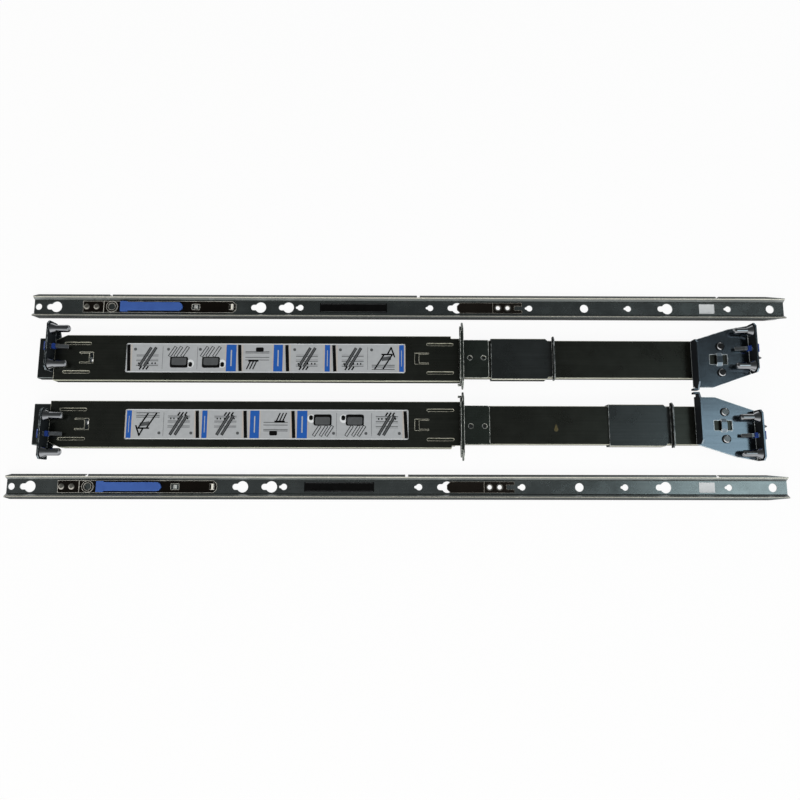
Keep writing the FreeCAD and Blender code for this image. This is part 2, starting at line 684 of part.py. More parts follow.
def add_flange(body, face, out, floor):
    """A standing one-unit flange with cut upper corners."""
    flange = sketch_on(body, "YZ_Plane", face)
    corner = size.flange_corner
    polygon(flange, [(flange_low, floor), (flange_high, floor), (flange_high, size.flange_top - corner),
                     (flange_high - corner, size.flange_top), (flange_low + corner, size.flange_top),
                     (flange_low, size.flange_top - corner)])
    pad(body, flange, size.bracket_sheet, reverse=out < 0)


# Front bracket: base plate between the front section and the cabinet member, and the front flange.
def make_front_bracket():
    body = new_body("front_bracket")
    outer = front_face - size.bracket_sheet
    shoulder = front_face + size.bracket_shoulder
    reach = front_face + size.bracket_reach
    neck = size.tongue_width / 2
    base = sketch_on(body, "XY_Plane", cabinet_top)
    polygon(base, [(outer, flange_low), (shoulder, flange_low), (shoulder, -neck), (reach, -neck),
                   (reach, neck), (shoulder, neck), (shoulder, cabinet_half),
                   (front_face + size.gusset_run, size.gusset_rise), (outer, size.gusset_rise)])
    pad(body, base, size.bracket_sheet)
    add_flange(body, front_face, -1, cabinet_top)
    add_access_hole(body, cabinet_top + size.bracket_sheet, size.bracket_sheet)
    add_latch_seat(body, front_face, -1)
    keep_pair("front_bracket", body)


# Locating pins: a cone at the flange, a shank and a rounded tip, riveted over on the outer side.
def make_pins(name, face, out, shank):
    body = new_body(name)
    outer = face + size.bracket_sheet * out
    tip = face - size.pin_length * out
    head = outer + size.head_height * out
    for side in (-1, 1):
        sketch = sketch_on(body, "XZ_Plane", -size.pin_middle - size.pin_spacing / 2 * side, up=pin_level)
        polygon(sketch, [(head, ZERO), (head, size.pin_head / 2), (outer, size.pin_head / 2),
                         (outer, size.pin_stem / 2), (face, size.pin_stem / 2), (face, size.pin_shoulder / 2),
                         (face - size.pin_cone * out, shank / 2), (tip, shank / 2), (tip, ZERO)])
        pin = revolve(body, sketch, "H_Axis")
    tip_x = as_number(tip)

    def tip_edge(edge):
        return close(edge.BoundBox.XMin, tip_x) and close(edge.BoundBox.XMax, tip_x)
    round_edges(body, pin, size.pin_tip, tip_edge)
    keep_pair(name, body)


# Latch: flat hook that turns on a pin outside the flange and reaches through its slot.
def make_latch(name, face, out):
    outer = face + size.bracket_sheet * out
    pivot = outer + size.pivot_offset * out
    eye_low = pivot_level - size.pivot_diameter
    arm_top = latch_level + size.latch_bar
    heel = outer + (size.button_gap + size.button_depth / 2) * out
    stub = outer + (size.button_gap / 2) * out
    tip = face - size.latch_reach * out
    tooth = face - size.latch_throat * out
    stub_top = arm_top + size.latch_stub
    body = new_body(f"{name}_latch")
    lever = sketch_on(body, "XZ_Plane", -size.pin_middle)
    polygon(lever, [(heel, eye_low), (stub, eye_low), (stub, latch_level),
                    (tip + size.latch_bar * 0.6 * out, latch_level),
                    (tip, latch_level + size.latch_bar / 2),
                    (tooth - size.latch_bar * 0.6 * out, arm_top + size.latch_tooth),
                    (tooth, arm_top + size.latch_tooth), (tooth, arm_top), (stub, arm_top), (stub, stub_top),
                    (heel, stub_top)])
    pad(body, lever, size.latch_width, both_ways=True)
    eye = sketch_on(body, "XZ_Plane", -size.pin_middle)
    circle(eye, pivot, pivot_level, size.pivot_diameter + size.pivot_play * 2)
    pocket(body, eye, size.latch_width + size.cut_margin, both_ways=True)
    keep_pair(f"{name}_latch", body)

    button = new_body(f"{name}_button")
    button_low = latch_level + size.seat_gap
    button_inner = outer + size.button_gap * out
    button_outer = button_inner + size.button_depth * out
    button_top = button_low + size.button_height
    face_sketch = sketch_on(button, "XZ_Plane", -size.pin_middle)
    rectangle(face_sketch, button_inner, button_outer, button_low, button_top)
    block = pad(button, face_sketch, size.button_width, both_ways=True)
    outer_x = as_number(button_outer)

    def outer_edge(edge):
        return close(edge.BoundBox.XMin, outer_x) and close(edge.BoundBox.XMax, outer_x)
    round_edges(button, block, size.button_round, outer_edge)
    socket = sketch_on(button, "XZ_Plane", -size.pin_middle)
    rectangle(socket, button_inner - size.cut_margin * out, heel + size.seat_gap * out,
              button_low - size.cut_margin, stub_top + size.seat_gap)
    pocket(button, socket, size.latch_width + size.seat_gap * 2, both_ways=True)
    catch_start = face - size.catch_gap * out
    catch_end = catch_start - size.catch_length * out
    catch = sketch_on(button, "XZ_Plane", -size.pin_middle)
    rectangle(catch, catch_start, catch_end, arm_top - size.latch_bar / 2, arm_top + size.catch_height)
    pad(button, catch, size.catch_width, both_ways=True)
    saddle = sketch_on(button, "XZ_Plane", -size.pin_middle)
    rectangle(saddle, catch_start + size.cut_margin * out, catch_end - size.cut_margin * out,
              arm_top - size.latch_bar, arm_top + size.seat_gap)
    pocket(button, saddle, size.latch_width + size.seat_gap * 2, both_ways=True)
    keep_pair(f"{name}_button", button)

    pin_half = size.latch_width / 2 + size.ear_play + size.ear_sheet + size.pivot_proud
    pin = doc.addObject("Part::Cylinder", f"{name}_latch_pin")
    pin.Placement = FreeCAD.Placement(FreeCAD.Vector(), FreeCAD.Rotation(FreeCAD.Vector(1, 0, 0), -90))
    bind(pin, Radius=size.pivot_diameter / 2, Height=pin_half * 2, Placement__Base__x=pivot,
         Placement__Base__z=pivot_level,
         Placement__Base__y=rail_offset + size.pair_shift + size.pin_middle - pin_half)
    keep(f"right_{name}_latch_pin", pin)
    mirror_left(f"left_{name}_latch_pin", pin)


# Cabinet member: the slide's outermost channel, with grooves for the outer balls.
def make_cabinet_member():
    body = new_body("cabinet_member")
    channel(body, cabinet_front, cabinet_rear - cabinet_front, cabinet_half, size.cabinet_sheet, cabinet_top,
            ZERO, inner_level=size.outer_ball_level)
    add_access_hole(body, cabinet_top, size.cabinet_sheet)
    keep_pair("cabinet_member", body)


# Middle member: telescoping channel with ball grooves on both faces of its flanges.
def make_middle_member():
    body = new_body("middle_member")
    channel(body, cabinet_front, size.middle_length, middle_half, size.middle_sheet, middle_top,
            size.middle_rim, outer_level=size.outer_ball_level, inner_level=size.inner_ball_level)
    add_access_hole(body, middle_top, size.middle_sheet)
    keep_pair("middle_member", body)


# Ball cage: thin folded strip with a hole for each ball, and its balls. The cage that lies in front
# leaves the access hole open.
def make_cage(name, start, length, centre, top, ball, level):
    body = new_body(f"{name}_cage")
    half = centre + size.cage_sheet / 2
    pitch_length = length - size.cage_end * 2
    rim = level - ball / 2 - size.cage_hem
    inside = half - size.cage_sheet
    side = [(half, top), (half, rim), (inside, rim), (inside, top - size.cage_sheet)]
    strip = sketch_on(body, "YZ_Plane", start)
    polygon(strip, side + [(-across, up) for across, up in reversed(side)])
    pad(body, strip, length)
    if as_number(start) < as_number(access_place) < as_number(start + length):
        add_access_hole(body, top, size.cage_sheet)
    hole = sketch_on(body, "XZ_Plane")
    circle(hole, start + size.cage_end, level, ball + size.seat_gap * 2)
    holes = pocket(body, hole, (half + size.cut_margin) * 2, both_ways=True)
    repeat(body, [holes], "X_Axis", pitch_length, size.ball_count)
    keep_pair(f"{name}_cage", body)

    balls = new_body(f"{name}_balls")
    pair = []
    for row in (-1, 1):
        sphere = balls.newObject("PartDesign::AdditiveSphere", "ball")
        bind(sphere, Radius=ball / 2, Placement__Base__x=start + size.cage_end,
             Placement__Base__y=centre * row, Placement__Base__z=level)
        pair.append(sphere)
    doc.recompute()
    repeat(balls, pair, "X_Axis", pitch_length, size.ball_count)
    keep_pair(f"{name}_balls", balls)


# Rear extension: flat tongue that telescopes under the front section, and the channel behind it.
def make_rear_extension():
    body = new_body("rear_extension")
    channel(body, mid_front, extension_end - mid_front, extension_half, size.extension_sheet, extension_top,
            size.extension_rim)
    tongue = sketch_on(body, "XY_Plane", extension_floor)
    half = size.tongue_width / 2
    corner = size.mid_corner
    tip = front_face + size.bracket_reach + size.tongue_clear
    polygon(tongue, [(tip + corner, -half), (mid_front, -half), (mid_front, half), (tip + corner, half),
                     (tip, half - corner), (tip, corner - half)])
    pad(body, tongue, size.extension_sheet)
    holes = sketch_on(body, "XY_Plane", extension_top)
    for place in (mid_front + size.mid_hole_start, mid_front + size.mid_hole_start + size.mid_hole_pitch):
        circle(holes, place, size.mid_hole_offset, size.mid_hole)
    for side in (-1, 1):
        circle(holes, screw_place, size.screw_pitch / 2 * side, size.screw_shank + size.screw_play * 2)
    pocket(body, holes, size.extension_sheet + size.cut_margin)
    keep_pair("rear_extension", body)


# Mid plate: welded on the extension, with two threaded holes and a hemmed standing flange with two
# wings, the near one with a small hook.
def make_mid_plate():
    body = new_body("mid_plate")
    half = size.mid_height / 2
    corner = size.plate_round
    plate = sketch_on(body, "XY_Plane", extension_top)
    polygon(plate, [(mid_front, -half), (mid_rear - corner, -half), (mid_rear, corner - half),
                    (mid_rear, half), (mid_front, half)])
    pad(body, plate, size.mid_sheet)
    flange = sketch_on(body, "YZ_Plane", mid_front)
    wing = size.mid_wing_level
    top = size.mid_flange_top
    slope = top - wing - size.mid_sheet * 2
    polygon(flange, [(-half, extension_top), (half, extension_top), (half, wing), (size.mid_wing_reach, wing),
                     (size.mid_wing_reach, wing + size.mid_sheet * 2), (size.mid_wing_reach - slope, top),
                     (slope - size.mid_hook_reach, top), (-size.mid_hook_reach, wing + size.mid_sheet * 2),
                     (-size.mid_hook_reach, wing), (-half, wing)])
    pad(body, flange, size.mid_sheet)
    hem_low = section_top + size.hem_gap
    far = size.mid_wing_reach - size.hem_drop
    near = size.hem_drop - size.mid_hook_reach
    hem = sketch_on(body, "YZ_Plane", mid_front)
    polygon(hem, [(-half, hem_low), (half, hem_low), (half, wing), (far, wing), (far, wing + size.mid_sheet),
                  (far - slope, top), (near + slope, top), (near, wing + size.mid_sheet), (near, wing),
                  (-half, wing)])
    pad(body, hem, size.mid_sheet, reverse=True)
    hook = sketch_on(body, "XY_Plane", wing)
    hook_low = size.hook_inset - size.mid_hook_reach
    rectangle(hook, mid_front - size.hook_reach, mid_front + size.mid_sheet, hook_low,
              hook_low + size.hook_thick)
    pad(body, hook, size.mid_sheet * 2)
    threads = sketch_on(body, "XY_Plane", extension_top + size.mid_sheet)
    for place in (mid_front + size.mid_hole_start, mid_front + size.mid_hole_start + size.mid_hole_pitch):
        circle(threads, place, size.mid_hole_offset, size.mid_hole)
    pocket(body, threads, size.mid_sheet + size.cut_margin)
    eyes = sketch_on(body, "YZ_Plane", mid_front)
    for across in (half, -half):
        circle(eyes, across, (wing + top) / 2, size.wing_hole)
    pocket(body, eyes, (size.mid_sheet + size.cut_margin) * 2, both_ways=True)
    keep_pair("mid_plate", body)


# Sliding collar: sleeve whose lips hook under the extension's flanges, with a thin standing flange.
def make_collar(name, start):
    body = new_body(name)
    floor = extension_top + size.slide_gap
    top = floor + size.collar_sheet
    half = size.collar_height / 2
    lip_top = size.extension_rim - size.slide_gap
    lip_edge = half - size.collar_lip
    side = [(half, top), (half, lip_top - size.collar_sheet), (lip_edge, lip_top - size.collar_sheet),
            (lip_edge, lip_top), (half - size.collar_sheet, lip_top), (half - size.collar_sheet, floor)]
    sleeve = sketch_on(body, "YZ_Plane", start)
    polygon(sleeve, side + [(-across, up) for across, up in reversed(side)])
    folded = pad(body, sleeve, size.collar_length)
    round_edges(body, folded, size.bend_radius, fold_edge(half, top))
    end = start + size.collar_length
    past = end + size.cut_margin
    corners = sketch_on(body, "XY_Plane", top)
    for row in (-1, 1):
        edge = (half + size.cut_margin) * row
        inset = (half - size.collar_corner) * row
        polygon(corners, [(end - size.collar_corner, edge), (past, edge), (past, inset)])
    pocket(body, corners, top)
    tail = sketch_on(body, "XY_Plane", floor)
    tail_half = half - size.collar_sheet * 2
    rectangle(tail, end - size.collar_sheet, end + size.collar_tail, -tail_half, tail_half)
    pad(body, tail, size.collar_sheet)
    flange = sketch_on(body, "YZ_Plane", end + size.collar_tail)
    flange_half = size.collar_flange_height / 2
    flange_top = size.collar_flange_top
    corner = size.flange_corner
    polygon(flange, [(-flange_half, floor), (flange_half, floor), (flange_half, flange_top - corner),
                     (flange_half - corner, flange_top), (corner - flange_half, flange_top),
                     (-flange_half, flange_top - corner)])
    pad(body, flange, size.collar_flange_sheet)
    place_right(body)
    return body


def make_collars():
    keep("right_collar", make_collar("right_collar", mid_rear + size.collar_rest))
    collar_run = size.collar_length + size.collar_tail + size.collar_flange_sheet
    left = make_collar("left_collar_source", rear_front - size.collar_back - collar_run)
    mirror_left("left_collar", left)


# Rear bracket: plate screwed on the extension, with the rear one-unit flange, a hooked front flange
# and a bridge strap over its window.
def make_rear_bracket():
    body = new_body("rear_bracket")
    outer = rear_face + size.bracket_sheet
    near = -size.rear_near
    plate = sketch_on(body, "XY_Plane", extension_top)
    polygon(plate, [(rear_front, near), (rear_front + size.rear_near_run, near), (outer, flange_low),
                    (outer, flange_high), (rear_front + size.rear_far_run, size.rear_far_bend),
                    (rear_front, size.rear_far)])
    pad(body, plate, size.bracket_sheet)
    add_flange(body, rear_face, 1, extension_top)
    hook = size.rear_hook
    far = size.rear_far
    top = size.rear_flange_top
    low = extension_top
    stand = sketch_on(body, "YZ_Plane", rear_front)
    polygon(stand, [(near, low), (far, low), (far, top - hook), (far - hook, top), (near + hook, top),
                    (near - hook, top - hook), (near - hook, low + hook), (near, low + hook)])
    pad(body, stand, size.bracket_sheet)
    curl = sketch_on(body, "XY_Plane", low + hook)
    rectangle(curl, rear_front - size.hook_reach, rear_front + size.bracket_sheet, near - hook,
              near - hook + size.hook_thick)
    pad(body, curl, top - low - hook * 2)
    cuts = sketch_on(body, "XY_Plane", rear_top)
    window = rear_front + size.window_start
    rectangle(cuts, window, window + size.window_length, -size.window_width / 2, size.window_width / 2)
    for side in (-1, 1):
        circle(cuts, screw_place, size.screw_pitch / 2 * side, size.screw_shank + size.screw_play * 2)
    pocket(body, cuts, size.bracket_sheet + size.cut_margin)
    gap = size.window_width / 2
    foot = size.strap_foot
    crown = rear_top + size.strap_rise
    rise = [(gap, rear_top), (gap + foot, rear_top), (gap - foot, crown)]
    strap = sketch_on(body, "YZ_Plane", window + size.strap_start)
    polygon(strap, rise + [(-across, up) for across, up in reversed(rise)]
            + [(foot - gap, crown - size.strap_sheet), (gap - foot, crown - size.strap_sheet)])
    pad(body, strap, size.strap_width)
    add_latch_seat(body, rear_face, 1)
    keep_pair("rear_bracket", body)


def make_rear_screws():
    body = new_body("rear_screws")
    sketch = sketch_on(body, "XZ_Plane", size.screw_pitch / 2, across=screw_place)
    shank = size.screw_shank / 2
    head = size.screw_head / 2
    head_top = rear_top + size.screw_head_height
    end = extension_floor - size.screw_past
    polygon(sketch, [(ZERO, end), (shank, end), (shank, rear_top), (head, rear_top),
                     (head, rear_top + size.screw_head_height / 2), (head * 0.7, head_top), (ZERO, head_top)])
    screw = revolve(body, sketch, "V_Axis")
    repeat(body, [screw], "Y_Axis", size.screw_pitch, 2)
    keep_pair("rear_screws", body)


def make_rear_stud():
    body = new_body("rear_stud")
    base = rear_face + size.bracket_sheet
    sketch = sketch_on(body, "XZ_Plane", -size.stud_offset, up=size.stud_level)
    radius = size.stud_diameter / 2
    end = base + size.stud_length
    cone = end - size.stud_point
    polygon(sketch, [(base, ZERO), (base, radius), (cone, radius), (cone, size.stud_cone / 2),
                     (end, size.stud_tip / 2), (end, ZERO)])
    revolve(body, sketch, "H_Axis")
    keep_pair("rear_stud", body)


def place_inner(body, side):
    """Puts a sub-part of an inner rail beside the outer rail of its side."""
    bind(body, Placement__Base__x=size.inner_end + size.inner_shift * side - size.inner_length,
         Placement__Base__y=size.inner_offset * side)


def from_rear(length):
    """A place along the inner rail, given from its rear end."""
    return size.inner_length - length


# Inner rail: flat web with a ball raceway folded along both edges, lead-in ends and the server's keyholes.
def make_inner_rail(prefix, side):
    body = new_body(f"{prefix}_inner_rail")
    web = size.web_height / 2
    crest = web + size.slope_run
    skin = size.inner_sheet
    depth = size.inner_depth
    edge = [(web, ZERO), (crest, depth - skin), (inner_half - skin, depth - skin),
            (inner_half - skin, size.hem_rim), (inner_half, size.hem_rim)]
    edge += raceway(inner_half, size.raceway_depth, size.inner_ball_level, size.raceway_width)
    edge += [(inner_half, depth), (crest - skin / 2, depth), (web - skin / 2, skin)]
    profile = sketch_on(body, "YZ_Plane")
    polygon(profile, edge + [(-across, up) for across, up in reversed(edge)])
    strip = pad(body, profile, size.inner_length)
    depth_z = as_number(depth)
    length_x = as_number(size.inner_length)

    def crest_edge(edge):
        box = edge.BoundBox
        return close(box.ZMin, depth_z) and close(box.ZMax, depth_z) and close(box.XLength, length_x)
    round_edges(body, strip, size.bend_radius, crest_edge)

    holes = sketch_on(body, "XY_Plane", skin)
    keys = [size.key_first, size.key_second, size.key_third, from_rear(size.key_fourth),
            from_rear(size.key_fifth)]
    for place in keys:
        keyhole(holes, place, place - size.key_reach, ZERO, size.key_head, size.key_neck)
    drops = [size.drop_first, from_rear(size.drop_second), from_rear(size.drop_third),
             from_rear(size.drop_fourth), from_rear(size.drop_fifth)]
    for place in drops:
        keyhole(holes, place, place - size.drop_reach, ZERO, size.drop_head, size.drop_neck)
    circle(holes, size.end_hole_place, ZERO, size.end_hole)
    fixing = from_rear(size.fix_hole_place)
    circle(holes, fixing, ZERO, size.fix_hole)
    circle(holes, fixing + size.fix_hole_pitch, ZERO, size.fix_hole)
    eyelets = from_rear(size.leaf_rivet)
    for start, shank in ((size.strip_rivet, size.rivet_shank), (eyelets, size.eyelet_shank)):
        for place in (start, start + size.rivet_pitch):
            circle(holes, place, ZERO, shank + size.rivet_play * 2)
    pocket(body, holes, skin + size.cut_margin)

    trims = sketch_on(body, "XY_Plane", depth)
    outside = inner_half + size.cut_margin
    before = -size.cut_margin
    after = size.inner_length + size.cut_margin
    for row in (-1, 1):
        nose = (inner_half - size.lead_in) * row
        past = outside * row
        polygon(trims, [(before, nose), (size.nose_length, past), (before, past)])
        polygon(trims, [(after, nose), (from_rear(size.taper_length), past), (after, past)])
    for place in (size.notch_first, from_rear(size.notch_second), from_rear(size.notch_third)):
        rectangle(trims, place, place + size.notch_length, inner_half - size.notch_depth, outside)
    pocket(body, trims, depth + size.cut_margin)
    place_inner(body, side)
    keep(f"{prefix}_inner_rail", body)


# Release spring: a riveted root, and behind its bend line the arm that lifts, with ring and pawl.
def make_release_spring(prefix, side):
    half = size.strip_width / 2
    root = new_body(f"{prefix}_strip_root")
    plate = sketch_on(root, "XY_Plane", size.inner_sheet)
    rectangle(plate, size.strip_start, size.strip_bend - size.bend_clearance, -half, half)
    for place in (size.strip_rivet, size.strip_rivet + size.rivet_pitch):
        circle(plate, place, ZERO, size.rivet_shank + size.rivet_play * 2)
    pad(root, plate, size.strip_sheet)
    place_inner(root, side)
    keep(f"{prefix}_strip_root", root)

    arm = new_body(f"{prefix}_release_arm")
    arm_floor = size.inner_sheet + size.arm_gap
    arm_top = arm_floor + size.strip_sheet
    blade = sketch_on(arm, "XY_Plane", arm_floor)
    corner = size.mid_corner
    end = size.strip_end
    polygon(blade, [(size.strip_bend, -half), (end - corner, -half), (end, corner - half),
                    (end, half - corner), (end - corner, half), (size.strip_bend, half)])
    circle(blade, size.ring_place, ZERO, size.ring_inner)
    slot_start = size.tab_start + size.tab_stem_place - size.tab_stem_play
    slot_end = slot_start + size.tab_stem + size.tab_travel + size.tab_stem_play * 2
    slot_half = size.tab_stem_width / 2 + size.tab_stem_play
    rectangle(blade, slot_start, slot_end, -slot_half, slot_half)
    rectangle(blade, size.arm_window_place, size.arm_window_place + size.arm_window_length,
              -size.arm_window_width / 2, size.arm_window_width / 2)
    pad(arm, blade, size.strip_sheet)
    ring = sketch_on(arm, "XY_Plane", arm_top)
    circle(ring, size.ring_place, ZERO, size.ring_outer)
    circle(ring, size.ring_place, ZERO, size.ring_inner)
    pad(arm, ring, size.ring_height)
    pawl = sketch_on(arm, "XZ_Plane")
    polygon(pawl, [(size.pawl_place, arm_top), (size.pawl_place + size.pawl_length, arm_top),
                   (size.pawl_place + size.pawl_length, arm_top + size.pawl_height)])
    pad(arm, pawl, size.pawl_width, both_ways=True)
    place_inner(arm, side)
    keep(f"{prefix}_release_arm", arm)


# Blue tab: slides along the release arm, guided by a stem in the arm's slot.
def make_release_tab(prefix, side):
    body = new_body(f"{prefix}_release_tab")
    floor = size.inner_sheet + size.arm_gap + size.strip_sheet + size.tab_play
    half = size.tab_width / 2
    head_half = size.tab_head_width / 2
    start = size.tab_start
    head_end = start + size.tab_head
    tip = start + size.tab_length - half
    top_view = sketch_on(body, "XY_Plane", floor)
    corners = [(tip, half), (head_end, half), (head_end, head_half), (start, head_half), (start, -head_half),
               (head_end, -head_half), (head_end, -half), (tip, -half)]
    first = top_view.GeometryCount
    for here, following in zip(corners, corners[1:]):
        top_view.addGeometry(Part.LineSegment(point_at(*here), point_at(*following)), False)
    for index, (across, up) in enumerate(corners[:-1]):
        tie(top_view, "DistanceX", first + index, 1, across)
        tie(top_view, "DistanceY", first + index, 1, up)
        if index:
            top_view.addConstraint(Sketcher.Constraint("Coincident", first + index - 1, 2, first + index, 1))
    last = first + len(corners) - 2
    tie(top_view, "DistanceX", last, 2, tip)
    tie(top_view, "DistanceY", last, 2, -half)
    bow = Part.Arc(point_at(tip, -half), point_at(tip + half, ZERO), point_at(tip, half))
    nose = top_view.addGeometry(bow, False)
    tie(top_view, "DistanceX", nose, 3, tip)
    top_view.addConstraint(Sketcher.Constraint("Coincident", last, 2, nose, 1))
    top_view.addConstraint(Sketcher.Constraint("Coincident", nose, 2, first, 1))
    pad(body, top_view, size.tab_height)
    stem = sketch_on(body, "XY_Plane", floor)
    stem_start = start + size.tab_stem_place
    stem_half = size.tab_stem_width / 2
    rectangle(stem, stem_start, stem_start + size.tab_stem, -stem_half, stem_half)
    pad(body, stem, size.tab_play + size.strip_sheet + size.arm_gap / 2, reverse=True)
    place_inner(body, side)
    keep(f"{prefix}_release_tab", body)


# Lock leaf: a riveted root, and the free end that closes a keyhole behind a standoff.
def make_lock_leaf(prefix, side):
    half = size.leaf_width / 2
    free_end = from_rear(size.leaf_start)
    bend = from_rear(size.leaf_bend)
    end = from_rear(size.leaf_end)
    eyelets = from_rear(size.leaf_rivet)
    root = new_body(f"{prefix}_lock_leaf_root")
    plate = sketch_on(root, "XY_Plane", size.inner_sheet)
    slot = size.leaf_slot_width / 2
    bottom = end - size.leaf_slot
    start = bend + size.bend_clearance
    polygon(plate, [(start, -half), (end, -half), (end, -slot), (bottom, -slot), (bottom, slot), (end, slot),
                    (end, half), (start, half)])
    for place in (eyelets, eyelets + size.rivet_pitch):
        circle(plate, place, ZERO, size.eyelet_shank + size.rivet_play * 2)
    pad(root, plate, size.leaf_sheet)
    place_inner(root, side)
    keep(f"{prefix}_lock_leaf_root", root)

    leaf = new_body(f"{prefix}_lock_leaf")
    blade = sketch_on(leaf, "XY_Plane", size.inner_sheet + size.arm_gap)
    corner = size.mid_corner
    polygon(blade, [(free_end, corner - half), (free_end + corner, -half), (bend, -half), (bend, half),
                    (free_end + corner, half), (free_end, half - corner)])
    pad(leaf, blade, size.leaf_sheet)
    place_inner(leaf, side)
    keep(f"{prefix}_lock_leaf", leaf)


# Rivets of the release spring and open eyelets of the lock leaf, flush with the rail's server side.
def make_inner_rivets(prefix, side):
    body = new_body(f"{prefix}_inner_rivets")
    head = size.rivet_head / 2
    shank = size.rivet_shank / 2
    seat = size.inner_sheet + size.strip_sheet
    top = seat + size.rivet_height
    domed = sketch_on(body, "XZ_Plane", across=size.strip_rivet)
    polygon(domed, [(ZERO, ZERO), (shank, ZERO), (shank, seat), (head, seat),
                    (head, seat + size.rivet_height / 2), (head * 0.6, top), (ZERO, top)])
    rivet = revolve(body, domed, "V_Axis")
    repeat(body, [rivet], "X_Axis", size.rivet_pitch, 2)
    bore = size.eyelet_bore / 2
    sleeve = size.eyelet_shank / 2
    rolled = size.eyelet_head / 2
    leaf_seat = size.inner_sheet + size.leaf_sheet
    leaf_top = leaf_seat + size.eyelet_height
    open_bore = sketch_on(body, "XZ_Plane", across=from_rear(size.leaf_rivet))
    polygon(open_bore, [(bore, ZERO), (sleeve, ZERO), (sleeve, leaf_seat), (rolled, leaf_seat),
                        (rolled, leaf_top), (bore, leaf_top)])
    eyelet = revolve(body, open_bore, "V_Axis")
    repeat(body, [eyelet], "X_Axis", size.rivet_pitch, 2)
    place_inner(body, side)
    keep(f"{prefix}_inner_rivets", body)


make_front_section()
make_front_bracket()
make_pins("front_pins", front_face, -1, size.pin_diameter)
make_latch("front", front_face, -1)
make_cabinet_member()
make_middle_member()
make_cage("outer", cabinet_rear - size.outer_cage_stop - size.outer_cage_length, size.outer_cage_length,
          middle_half + outer_ball_space / 2, outer_cage_top, size.outer_ball, size.outer_ball_level)
make_cage("inner", cabinet_front + size.inner_cage_stop, size.inner_cage_length,
          inner_half + inner_ball_space / 2, inner_cage_top, size.inner_ball, size.inner_ball_level)
make_rear_extension()
make_mid_plate()
make_collars()
make_rear_bracket()
make_pins("rear_pins", rear_face, 1, size.rear_pin_diameter)
make_latch("rear", rear_face, 1)
make_rear_screws()
make_rear_stud()
for prefix, side in (("right", 1), ("left", -1)):
    make_inner_rail(prefix, side)
    make_release_spring(prefix, side)
    make_release_tab(prefix, side)
    make_lock_leaf(prefix, side)
    make_inner_rivets(prefix, side)

doc.recompute()
for thing in doc.Objects:
    if "Invalid" in thing.State or "Error" in thing.State:
        raise RuntimeError(f"{thing.Label} failed: {thing.State}")
for name, thing in nodes.items():
    if thing.Shape.isNull() or not thing.Shape.isValid():
        raise RuntimeError(f"{name} has no valid shape")

os.makedirs("parts", exist_ok=True)
for name, thing in nodes.items():
    thing.Shape.exportStep(f"parts/{name}.step")
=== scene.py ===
import math

import bmesh
import bpy
from mathutils import Matrix, Vector


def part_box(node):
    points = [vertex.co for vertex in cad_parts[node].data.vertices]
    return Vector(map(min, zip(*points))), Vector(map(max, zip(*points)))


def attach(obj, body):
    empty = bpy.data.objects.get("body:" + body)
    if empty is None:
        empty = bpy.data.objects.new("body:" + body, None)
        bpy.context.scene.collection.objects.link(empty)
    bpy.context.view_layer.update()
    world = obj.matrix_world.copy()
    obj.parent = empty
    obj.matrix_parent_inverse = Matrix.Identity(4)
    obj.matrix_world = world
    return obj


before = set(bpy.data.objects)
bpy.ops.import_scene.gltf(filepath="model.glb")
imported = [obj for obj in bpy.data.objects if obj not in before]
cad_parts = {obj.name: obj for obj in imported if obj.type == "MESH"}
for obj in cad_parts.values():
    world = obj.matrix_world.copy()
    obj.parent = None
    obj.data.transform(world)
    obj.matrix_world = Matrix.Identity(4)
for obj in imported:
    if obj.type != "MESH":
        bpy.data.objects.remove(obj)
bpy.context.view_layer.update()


# Front sections: the long black channels of the two outer rails, folded from sheet steel,
# zinc plated and passivated almost black. Rolling leaves faint streaks along the sheet, and the
# skin is thin and worn along the cut edges, with a painted highlight there and on the folds, and
# painted shade on the upright faces.
def feed(tree, socket, value):
    if isinstance(value, bpy.types.NodeSocket):
        tree.links.new(value, socket)
    elif isinstance(value, tuple):
        socket.default_value = (*value, 1.0)
    else:
        socket.default_value = value


def reckon(tree, operation, *values):
    node = tree.nodes.new("ShaderNodeMath")
    node.operation = operation
    for socket, value in zip(node.inputs, values):
        feed(tree, socket, value)
    return node.outputs["Value"]


def ranged(tree, value, start, end, low=0.0, high=1.0):
    node = tree.nodes.new("ShaderNodeMapRange")
    feed(tree, node.inputs["Value"], value)
    feed(tree, node.inputs["From Min"], start)
    feed(tree, node.inputs["From Max"], end)
    feed(tree, node.inputs["To Min"], low)
    feed(tree, node.inputs["To Max"], high)
    return node.outputs["Result"]


def blended(tree, share, first, second, kind="MIX"):
    node = tree.nodes.new("ShaderNodeMix")
    node.data_type = "RGBA"
    node.blend_type = kind
    feed(tree, node.inputs[0], share)
    feed(tree, node.inputs[6], first)
    feed(tree, node.inputs[7], second)
    return node.outputs[2]


def cloudy(tree, place, scale, detail, roughness=0.5):
    node = tree.nodes.new("ShaderNodeTexNoise")
    feed(tree, node.inputs["Vector"], place)
    feed(tree, node.inputs["Scale"], scale)
    feed(tree, node.inputs["Detail"], detail)
    feed(tree, node.inputs["Roughness"], roughness)
    return node.outputs["Fac"]


def on_piece(tree, kind="Object"):
    return tree.nodes.new("ShaderNodeTexCoord").outputs[kind]


def split(tree, vector):
    node = tree.nodes.new("ShaderNodeSeparateXYZ")
    tree.links.new(vector, node.inputs["Vector"])
    return node.outputs


def group_with(name, inputs, outputs):
    group = bpy.data.node_groups.new(name, "ShaderNodeTree")
    for socket, value in inputs.items():
        made = group.interface.new_socket(socket, in_out="INPUT", socket_type="NodeSocketFloat")
        made.default_value = value
    for socket in outputs:
        group.interface.new_socket(socket, in_out="OUTPUT", socket_type="NodeSocketFloat")
    return group, group.nodes.new("NodeGroupInput").outputs, group.nodes.new("NodeGroupOutput").inputs


